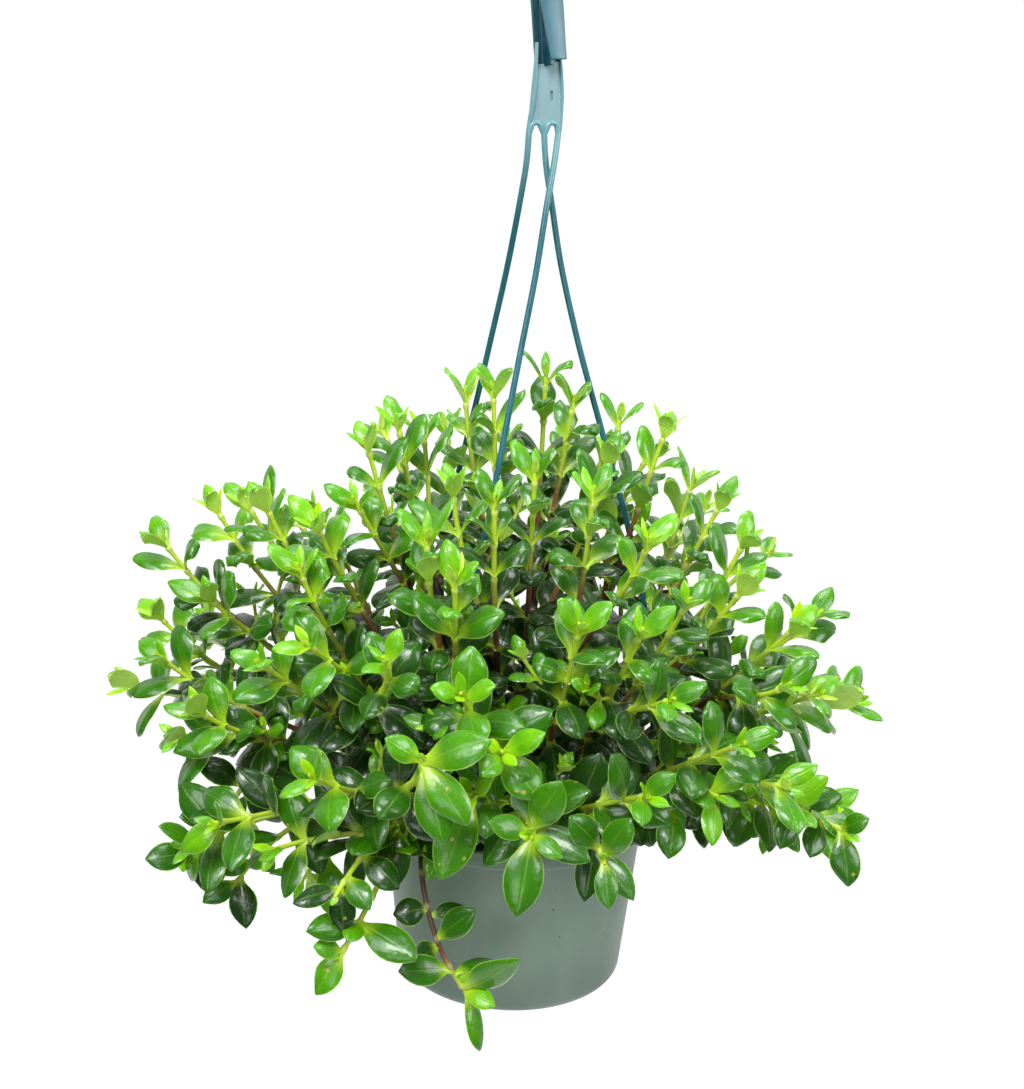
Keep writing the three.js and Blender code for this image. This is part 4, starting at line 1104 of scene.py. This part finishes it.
def leaf_at(shoot, keys, order, half, distance, vigour, swing, lift):
    """One leaf of a pair at a distance along a shoot, turned and lifted from where it would stand."""
    share_long, angle_out, bend_back, droop, share_wide = pair_forms[min(order, last_form)]
    along, sideways, square = shoot.frame(distance)
    base = shoot.at(distance)

    def draw(what):
        """A draw of this leaf's own, from -0.5 to 0.5."""
        return chance(*keys, order, half, what) - 0.5

    # Each pair stands a quarter turn from the last. On an upright shoot the leaves stand nearer to it and
    # arch over. Where it hangs, they stand out squarely and bend less.
    round_stem = math.radians(45 - 40 * max(along[2], 0) + 50 * (chance(*keys, 11) - 0.5)
                              + 90 * order + 180 * half + 30 * draw(1) + swing)
    out = sideways * math.cos(round_stem) + square * math.sin(round_stem)
    opened = order >= 0
    hanging = max(-along[2], 0) if opened else 0
    upright = max(along[2], 0)
    angle = math.radians(angle_out + 12 - 28 * upright * opened + 16 * draw(2) + lift + 40 * hanging)
    direction = along * math.cos(angle) + out * math.sin(angle)
    direction[2] -= droop * (1 - hanging) * (1.7 - 0.9 * upright)
    direction = unit(direction)
    # It faces the shoot's tip and the light, and a little outwards.
    outward = np.array([base[0], base[1], 0]) / 160
    facing = along * (1 - 0.6 * hanging) + (1.5 - 1.2 * upright + hanging) * to_light + 0.2 * outward
    facing = facing - direction * facing.dot(direction)
    facing = unit(unit(facing) + 0.5 * draw(9) * np.cross(direction, unit(facing)))
    height = min(max((base[2] - low_leaf) / (high_leaf - low_leaf), 0), 1)
    long = (full_low + (full_high - full_low) * height) * share_long * (1 + 0.3 * draw(3)) * vigour
    arched = (24 + 8 * min(order, 2)) * upright * opened
    bend = (bend_back - 24 + arched + 24 * draw(4)) * (1 - 0.45 * hanging)
    wide = long * share_wide * (1 + 0.16 * draw(5)) * (1 - 0.31 * height)
    return {"base": base, "along": direction, "facing": facing, "long": long, "wide": wide, "bend": bend}


# Leaves that hang where nothing holds them up, for a stem and its shoot: where each starts and ends, its
# width against its length, its bend, its age, and which way it faces.
ahead_up, upward, leftward, rightward = (0, -0.8, 0.6), (0, -0.2, 1), (-0.8, -0.6, 0.2), (0.6, -0.7, 0.4)
to_front = (0.1, -1, 0.3)
hung_leaves = {
    (22, 0): [((-45, -123, 94), (-62, -128, 93), 0.8, 25, 0.85, ahead_up),
              ((-42, -122, 90), (-23, -114, 91), 0.5, 25, 0.8, ahead_up),
              ((-41, -124, 78), (-16, -130, 100), 0.5, 20, 0.6, ahead_up),
              ((-43, -122, 73), (-48, -116, 59), 0.6, 20, 0.7, leftward),
              ((-32, -125, 63), (-61, -134, 62), 0.52, 40, 0.55, ahead_up),
              ((-31, -124, 61), (-8, -112, 56), 0.45, 30, 0.55, upward),
              ((-22, -125, 52), (6, -130, 77), 0.5, 20, 0.45, rightward),
              ((-24, -125, 49), (-18, -130, 14), 0.36, 30, 0.45, rightward),
              ((-22, -126, 50), (-5, -136, 45), 0.52, 25, 0.25, ahead_up),
              ((-24, -126, 51), (-24, -129, 62), 0.6, -20, 0.1, ahead_up),
              ((-23, -124, 51), (-21, -124, 58), 0.5, -20, 0.1, ahead_up)],
    (21, 0): [((-74, -144, 95), (-47, -150, 76), 0.5, 20, 0.5, rightward),
              ((-74, -144, 95), (-108, -156, 94), 0.42, 30, 0.5, ahead_up),
              ((-73, -145, 96), (-83, -158, 89), 0.5, 30, 0.35, ahead_up),
              ((-85, -145, 79), (-102, -155, 88), 0.5, 25, 0.3, ahead_up),
              ((-85, -144, 79), (-98, -146, 56), 0.55, 20, 0.35, ahead_up),
              ((-87, -146, 78), (-90, -149, 71), 0.5, -20, 0.1, ahead_up),
              ((-88, -146, 78), (-92, -150, 79), 0.6, -20, 0.12, upward)],
    (20, 0): [((-77, -132, 128), (-56, -142, 113), 0.55, 25, 0.75, ahead_up),
              ((-84, -143, 122), (-71, -152, 107), 0.62, 20, 0.5, ahead_up),
              ((-87, -148, 117), (-112, -156, 110), 0.42, 30, 0.8, ahead_up),
              ((-87, -148, 117), (-85, -146, 94), 0.6, 20, 0.9, to_front),
              ((-89, -150, 116), (-91, -154, 110), 0.55, -10, 0.15, ahead_up)],
    (16, 2): [((-173, -88, 103), (-198, -97, 103), 0.6, 30, 0.6, ahead_up),
              ((-176, -90, 101), (-176, -98, 97), 0.55, -10, 0.15, ahead_up),
              ((-158, -74, 120), (-182, -88, 124), 0.5, 25, 0.6, ahead_up),
              ((-160, -77, 117), (-163, -94, 92), 0.5, 25, 0.3, to_front),
              ((-164, -81, 112), (-164, -86, 80), 0.62, 20, 0.75, to_front)],
    (18, 2): [((-146, -93, 93), (-141, -103, 68), 0.56, 20, 0.85, to_front),
              ((-148, -93, 92), (-166, -101, 80), 0.5, 25, 0.6, ahead_up),
              ((-136, -91, 106), (-125, -104, 101), 0.5, 20, 0.6, ahead_up),
              ((-139, -91, 102), (-158, -100, 98), 0.5, 25, 0.55, ahead_up)],
    (26, 0): [((5, -159, 153), (1, -168, 116), 0.48, 20, 0.52, to_front),
              ((5, -159, 153), (25, -168, 146), 0.46, 25, 0.42, ahead_up),
              ((5, -159, 155), (-17, -166, 165), 0.46, 25, 0.45, ahead_up),
              ((7, -150, 157), (38, -158, 140), 0.46, 20, 0.6, ahead_up),
              ((6, -155, 158), (24, -158, 187), 0.52, 20, 0.45, ahead_up),
              ((7, -147, 158), (3, -150, 188), 0.55, 20, 0.5, ahead_up),
              ((7, -160, 156), (7, -166, 163), 0.6, -10, 0.12, ahead_up),
              ((7, -160, 156), (1, -165, 158), 0.6, -10, 0.12, ahead_up)],
    (26, 1): [((-21, -148, 172), (-37, -160, 130), 0.46, 20, 0.45, to_front)],
    (27, 0): [((44, -156, 143), (47, -164, 119), 0.48, 20, 0.5, to_front),
              ((44, -150, 145), (60, -160, 122), 0.46, 20, 0.58, to_front),
              ((44, -155, 144), (59, -160, 170), 0.48, 25, 0.5, ahead_up),
              ((43, -150, 146), (23, -158, 168), 0.5, 25, 0.55, ahead_up),
              ((42, -142, 148), (35, -150, 116), 0.45, 20, 0.8, to_front),
              ((44, -156, 142), (44, -162, 149), 0.6, -10, 0.12, ahead_up)],
    (19, 1): [((-46, -171, 197), (-22, -180, 166), 0.44, 25, 0.42, ahead_up),
              ((-47, -168, 196), (-34, -178, 155), 0.44, 25, 0.5, to_front),
              ((-46, -170, 198), (-9, -176, 212), 0.5, 25, 0.42, ahead_up),
              ((-47, -171, 198), (-66, -176, 212), 0.5, 25, 0.35, ahead_up),
              ((-46, -172, 198), (-46, -177, 205), 0.6, -10, 0.1, ahead_up)],
    (35, 0): [((120, -40, 129), (121, -60, 101), 0.36, 25, 0.8, to_front)],
    (35, 1): [((149, -83, 139), (140, -94, 121), 0.6, 20, 0.6, to_front)],
    (27, 2): [((83, -95, 142), (80, -110, 120), 0.6, 20, 0.5, to_front)],
    (35, 2): [((166, -69, 128), (158, -84, 111), 0.6, 20, 0.65, to_front),
              ((176, -74, 123), (181, -85, 94), 0.5, 25, 0.6, to_front),
              ((176, -74, 124), (192, -82, 136), 0.6, 30, 0.5, ahead_up),
              ((178, -75, 124), (186, -84, 122), 0.5, -10, 0.15, ahead_up)],
}
# The pair that follows on from those, up the stem: -2 is the bud.
hung_to = {(26, 0): 2, (27, 0): 2, (19, 1): 2, (26, 1): -2, (20, 0): 2, (16, 2): 2, (18, 2): 2, (35, 2): 1,
           (35, 0): -2, (35, 1): -2, (27, 2): -2}


def hung_leaf(shoot, start, end, width, bend, age, faces_to):
    """One leaf from the nearest point of its shoot to a given end."""
    start = shoot.points[np.argmin(np.linalg.norm(shoot.points - np.array(start, float), axis=1))]
    chord, facing, half = np.array(end, float) - start, np.array(faces_to, float), math.radians(bend) / 2
    facing = unit(facing - unit(chord) * facing.dot(unit(chord)))
    turn = turn_to_chord * half
    along = unit(chord) * math.cos(turn) + facing * math.sin(turn)
    facing = facing * math.cos(turn) - unit(chord) * math.sin(turn)
    long = np.linalg.norm(chord) * half / math.sin(half)
    return {"base": start, "along": along, "facing": facing, "long": long, "wide": long * width, "bend": bend,
            "age": age}


def leaves_of(number, shoot_number, shoot, lowest, vigour, youth):
    """A shoot's leaves from its bud down, each swung clear of the leaves already there."""
    made = []
    order = -2
    for place, numbers in enumerate(hung_leaves.get((number, shoot_number), ())):
        leaf = hung_leaf(shoot, *numbers)
        leaf["luck"] = chance(number, place, 7)
        made.append(leaf)
        fill(leaf_balls(leaf), (number, shoot_number, -3))
        order = hung_to.get((number, shoot_number), 99)
    while True:
        distance = joint_of(shoot, order) if order >= 0 else shoot.length - (1, 3)[order + 2]
        if distance < lowest:
            return made
        keys = (number, shoot_number)
        if order > 0:
            distance += 3 * (chance(*keys, order, 12) - 0.5) * min(order, 2)
        for half in (0, 1):
            best = None
            owner = (number, shoot_number, order)
            for swing, lift in swings if order >= 0 else swings[:1]:
                leaf = leaf_at(shoot, keys, order, half, distance, vigour, swing, lift)
                balls = leaf_balls(leaf)
                room = room_round(balls, owner)
                if best is None or room > best[0] + 0.01:
                    best = (room, leaf, balls)
                if room > room_wanted:
                    break
            room, leaf, balls = best
            may_drop = order > 1 and shoot.end[2] < low_tip and leaf["along"][2] < -0.5
            if room < room_crowded and order >= 0:
                continue
            if may_drop and chance(*keys, order, half, 8) < dropped_share:
                continue
            fill(balls, owner)
            leaf["age"] = min(max(pair_ages[min(order, last_form) + 2] - youth
                                  + 0.16 * (chance(*keys, order, half, 6) - 0.5), 0), 1)
            leaf["luck"] = chance(*keys, order, half, 7)
            made.append(leaf)
        order += 1


def leaf_points(name, leaves):
    """A mesh of one point for each leaf, with what the tree reads."""
    mesh = bpy.data.meshes.new(name)
    mesh.from_pydata([tuple(leaf["base"] * MM) for leaf in leaves], [], [])
    for key in ("along", "facing"):
        values = np.array([leaf[key] for leaf in leaves]).ravel()
        mesh.attributes.new(key, "FLOAT_VECTOR", "POINT").data.foreach_set("vector", values)
    for key, scale in (("long", MM), ("wide", MM), ("age", 1), ("luck", 1)):
        values = [leaf[key] * scale for leaf in leaves]
        mesh.attributes.new(key, "FLOAT", "POINT").data.foreach_set("value", values)
    bends = [int(np.argmin([abs(b - leaf["bend"]) for b in blade_bends])) for leaf in leaves]
    kinds = [b * len(blade_twists) + int(leaf["luck"] * 60) % len(blade_twists)
             for b, leaf in zip(bends, leaves)]
    mesh.attributes.new("blade", "INT", "POINT").data.foreach_set("value", kinds)
    piece = bpy.data.objects.new(name, mesh)
    bpy.context.scene.collection.objects.link(piece)
    return piece


# Bark turns brown with its distance from the tip, over a length that differs between shoots, and up to this
# share. Leaves have dropped from the foot of each shoot.
brown_over, brown_more, brownest, bare_stem, bare_fork, bare_side = 78, 45, 0.86, 0.16, 0.1, 5
# The legs and the wood take up their room first, and then each stem in turn gets its leaves.
for path in leg_paths:
    fill([(np.array(point, float), leg_width / 2) for point in path], "leg")
for shoots in plants:
    for shoot in shoots:
        fill([(shoot.at(d), stem_radius) for d in np.arange(0, shoot.length, 5)], "wood")

for number, shoots in enumerate(plants):
    main = shoots[0]
    young = side_shoots(number, main)
    runs, numbers = [], {"thickness": [], "oldness": [], "joint": []}
    leaves = []
    for shoot_number, shoot in enumerate(shoots + young):
        rooted, side = shoot_number == 0, shoot_number >= len(shoots)
        thick = stem_radius if rooted else (side_radius if side else fork_radius)
        orders = range(0, 4) if side else range(0, 14)
        run, thickness, joints = wood_points(
            shoot, orders, thick, tip_radius * (0.8 if side else 1.25), rooted)
        runs.append(run)
        numbers["thickness"] += [t * MM for t in thickness]
        numbers["joint"] += joints
        tip_distance = np.linalg.norm(np.array(run) - shoot.end, axis=1)
        woody = soon_woody.get(number, brown_over + brown_more * chance(number, shoot_number, 51))
        numbers["oldness"] += [0.1 if side else float(min(d / woody, 1)) * brownest for d in tip_distance]
        bare = bare_shares.get(number, bare_stem)
        lowest = bare_side if side else shoot.length * (bare if rooted else bare_fork)
        vigour = 1 if number < front_stems else 0.88
        # Leaves are younger low at the front, high up and far out to the sides, and on side shoots.
        front = max(0, 1 - math.dist(shoot.end, (10, -160, 150)) / 90)
        high = 0.06 * min(max(shoot.end[2] / 100 - 2.2, 0), 1)
        outer = 0.07 * min(abs(shoot.end[0]) / 180, 1)
        youth = 0.2 * (chance(number, shoot_number, 53) - 0.5) + 0.12 * front + high + outer
        if side:
            vigour, youth = 0.55 + 0.2 * chance(number, shoot_number, 52), 0.12
        leaves += leaves_of(number, shoot_number, shoot, lowest, vigour, youth)
    node_name = f"stem_{number + 1:02d}"
    wood = grown(node_name + "_wood", lines_with("shoot_lines", runs, **numbers), rods_tree, {
        "Sides": 8, "Finish": stem_bark})
    foliage = grown(node_name + "_leaves", leaf_points("leaf_points", leaves), leaves_tree, {
        "Blades": blades, "Fullness": 1.0, "Skin": leaf_skin})
    for piece in (wood, foliage):
        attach(piece, "root")
        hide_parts(node_name)
for blade in list(blades.objects):
    bpy.data.objects.remove(blade)
bpy.data.collections.remove(blades)

# ---- Studio ----
# The plant hangs well above a pale floor, between a white wall and a dimmer room, under soft boxes.
floor = turned("floor", [(0, -1260), (1700, -1260), (1700, -1250), (0, -1250)], 64)
# Matt white paint, rolled on, scatters the light with hardly any gloss.
pale_paint, tree, shader = finish_of("pale_paint", roughness=0.8, base_color=linear("#FAFAFA"))
floor.data.materials.append(pale_paint)
world = bpy.data.worlds.new("studio")
world.use_nodes = True
tree = world.node_tree
around = add(tree, "ShaderNodeTexCoord").outputs["Generated"]
direction = add(tree, "ShaderNodeSeparateXYZ", {}, {"Vector": around})
strength = add(tree, "ShaderNodeMapRange", {"interpolation_type": "SMOOTHSTEP"}, {
    "Value": direction.outputs["Y"], "From Min": 0.0, "From Max": 0.6, "To Min": 0.11, "To Max": 1.05})
tree.links.new(strength.outputs[0], tree.nodes["Background"].inputs["Strength"])
tree.nodes["Background"].inputs["Color"].default_value = (1, 1, 1, 1)
bpy.context.scene.world = world
bpy.context.scene.view_settings.view_transform = "Standard"
for name, place, size, power in [("big_box", (-0.9, -1.4, 1.7), 1.5, 42),
                                 ("small_box", (-0.2, -1.5, 1.9), 0.6, 31),
                                 ("side_box", (1.6, -0.9, 1.1), 1.0, 28),
                                 ("top_box", (0.2, 0.2, 2.2), 1.1, 36),
                                 ("low_box", (-0.2, -1.6, 0.25), 0.6, 4)]:
    lamp = bpy.data.objects.new(name, bpy.data.lights.new(name, "AREA"))
    lamp.data.size, lamp.data.energy = size, power
    lamp.location = place
    lamp.rotation_euler = (Vector((0, 0, 0.22)) - Vector(place)).to_track_quat("-Z", "Y").to_euler()
    bpy.context.scene.collection.objects.link(lamp)
